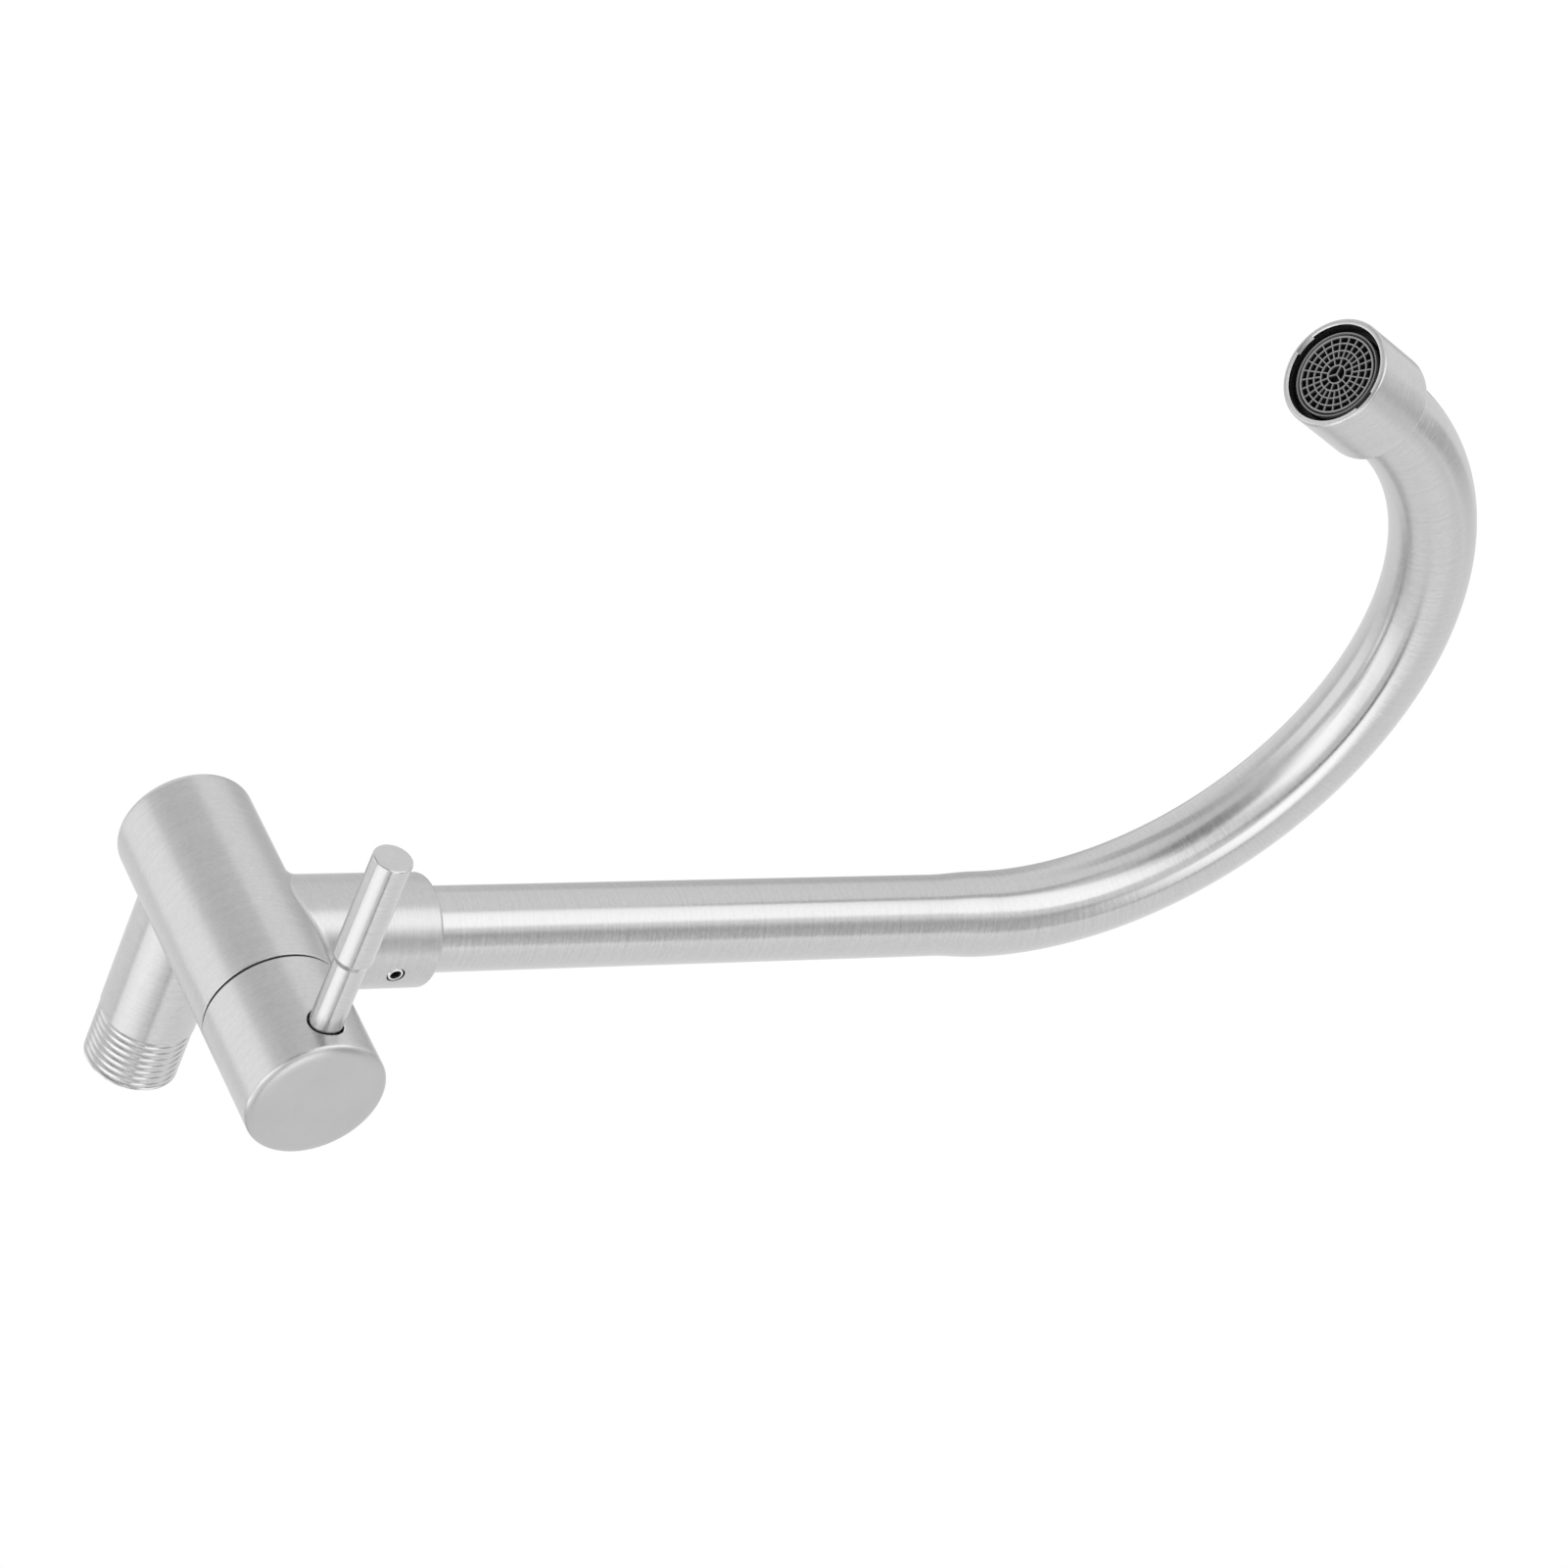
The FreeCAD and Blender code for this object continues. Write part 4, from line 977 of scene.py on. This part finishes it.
# Each panel: name, azimuth, elevation, half width, half height, roll and level, in degrees and metres.
soft_boxes = (("lamp_front", -60, 15, 0.60, 1.15, 20, 0.70),
              ("lamp_low_right", -5, -65, 0.60, 0.85, 25, 1.00),
              ("lamp_low_back", 65, -50, 0.95, 0.25, -20, 1.05),
              ("lamp_right", 5, 0, 0.85, 0.40, -50, 0.85),
              ("lamp_low_left", 160, -55, 0.80, 0.50, -20, 0.50))
cards = (("card_low_front", -70, -35, 0.50, 0.65, -10, 0.30),
         ("card_strip", 10, -20, 0.10, 1.10, 90, 0.10),
         ("card_high_right", -10, 30, 0.55, 0.50, 15, 0.50),
         ("card_back", 100, -20, 0.40, 0.50, 20, 0.60),
         ("card_left", -130, -20, 0.35, 0.80, 0, 0.60),
         ("card_high_left", 175, 40, 0.65, 0.55, 10, 0.65),
         ("card_top", -15, 75, 0.25, 0.55, 20, 0.50))


def facing(azimuth, elevation, roll):
    """The way to a panel, and its own directions: across cos(roll) + up sin(roll), and square to it."""
    a, e, r = np.radians([azimuth, elevation, roll])
    way = np.array([np.cos(e) * np.cos(a), np.cos(e) * np.sin(a), np.sin(e)])
    across = np.array([-np.sin(a), np.cos(a), 0])
    up = np.cross(way, across)
    return way, across * np.cos(r) + up * np.sin(r), up * np.cos(r) - across * np.sin(r)


def flat_panel(name, place, breadth, height, material):
    """A flat rectangle: place + u * breadth + v * height, with u and v from -1 to 1."""
    mesh = bpy.data.meshes.new(name)
    corners = [tuple(place + u * breadth + v * height) for u, v in ((-1, -1), (1, -1), (1, 1), (-1, 1))]
    mesh.from_pydata(corners, [], [(0, 1, 2, 3)])
    mesh.materials.append(material)
    panel = bpy.data.objects.new(name, mesh)
    scene.collection.objects.link(panel)
    return panel


# The floor is lifted to white only where the camera or a reflection sees it, and fades out far away.
floor_paint = plain_finish("floor paint", (0.86, 0.86, 0.86), 0.8, 6.0, 0.01, relief=0.0)
tree = floor_paint.node_tree
paint_shader = tree.nodes["Principled BSDF"]
rays = shader_node(tree, "ShaderNodeLightPath", {}).outputs
seen = worked(tree, "MAXIMUM", rays["Is Camera Ray"], rays["Is Glossy Ray"])
paint_shader.inputs["Emission Color"].default_value = (1, 1, 1, 1)
tree.links.new(worked(tree, "MULTIPLY", seen, floor_lift), paint_shader.inputs["Emission Strength"])
far = shader_node(tree, "ShaderNodeVectorMath", {0: own_place(tree)}, operation="LENGTH").outputs["Value"]
fading = ranged(tree, far, fade_start, fade_end, 0.0, 1.0, interpolation_type="SMOOTHSTEP")
clear = shader_node(tree, "ShaderNodeBsdfTransparent", {}).outputs[0]
blend = shader_node(tree, "ShaderNodeMixShader", {0: fading, 1: paint_shader.outputs[0], 2: clear})
tree.links.new(blend.outputs[0], tree.nodes["Material Output"].inputs["Surface"])
flat_panel("floor", np.array([0, 0, floor_z]), np.array([floor_reach, 0, 0]),
           np.array([0, floor_reach, 0]), floor_paint)

for name, azimuth, elevation, half_width, half_height, roll, level in cards:
    paint = bpy.data.materials.new(name + " paint")
    paint.use_nodes = True
    tree = paint.node_tree
    tree.nodes.clear()
    glow = shader_node(tree, "ShaderNodeEmission", {"Color": (level, level, level, 1.0), "Strength": 1.0})
    out = tree.nodes.new("ShaderNodeOutputMaterial")
    tree.links.new(glow.outputs[0], out.inputs["Surface"])
    paint.cycles.emission_sampling = "NONE"
    way, breadth, height = facing(azimuth, elevation, roll)
    card = flat_panel(name, middle + way * panel_distance, breadth * half_width, height * half_height,
                      paint)
    for sight in ("visible_camera", "visible_diffuse", "visible_shadow", "visible_transmission"):
        setattr(card, sight, False)

for name, azimuth, elevation, half_width, half_height, roll, level in soft_boxes:
    way, breadth, height = facing(azimuth, elevation, roll)
    light = bpy.data.lights.new(name, "AREA")
    light.shape = "RECTANGLE"
    light.size = 2 * half_width
    light.size_y = 2 * half_height
    light.energy = np.pi * level * 4 * half_width * half_height
    lamp = bpy.data.objects.new(name, light)
    lamp.location = middle + way * panel_distance
    lamp.rotation_euler = Matrix(np.stack([breadth, height, way], 1).tolist()).to_euler()
    lamp.visible_camera = False
    scene.collection.objects.link(lamp)

surround = bpy.data.worlds.new("surround")
scene.world = surround
surround.use_nodes = True
surround.cycles.sampling_method = "NONE"
tree = surround.node_tree
tree.nodes.clear()
rays = shader_node(tree, "ShaderNodeLightPath", {}).outputs
mirrored = worked(tree, "MAXIMUM", rays["Is Glossy Ray"], rays["Is Transmission Ray"])
seen = worked(tree, "MAXIMUM", rays["Is Camera Ray"], mirrored)
ambient, white = [
    shader_node(tree, "ShaderNodeBackground", {"Color": (1, 1, 1, 1), "Strength": level}).outputs[0]
    for level in (ambient_level, 1.0)]
chosen = shader_node(tree, "ShaderNodeMixShader", {0: seen, 1: ambient, 2: white})
out = tree.nodes.new("ShaderNodeOutputWorld")
tree.links.new(chosen.outputs[0], out.inputs["Surface"])

# Camera. It stands low in front of the tap, looks up at it and is rolled over, as in the photograph.
# Its place, turn and lens were fitted to the outlines of the cylinders, the pipe and the spout.
lens = bpy.data.cameras.new("camera")
lens.lens = 103.158
lens.sensor_width = 36.0
camera = bpy.data.objects.new("camera", lens)
camera.location = (0.6286986, -0.6270710, -0.4051397)
camera.rotation_euler = np.radians((179.25836, -57.36711, -40.98579))
scene.collection.objects.link(camera)
scene.camera = camera
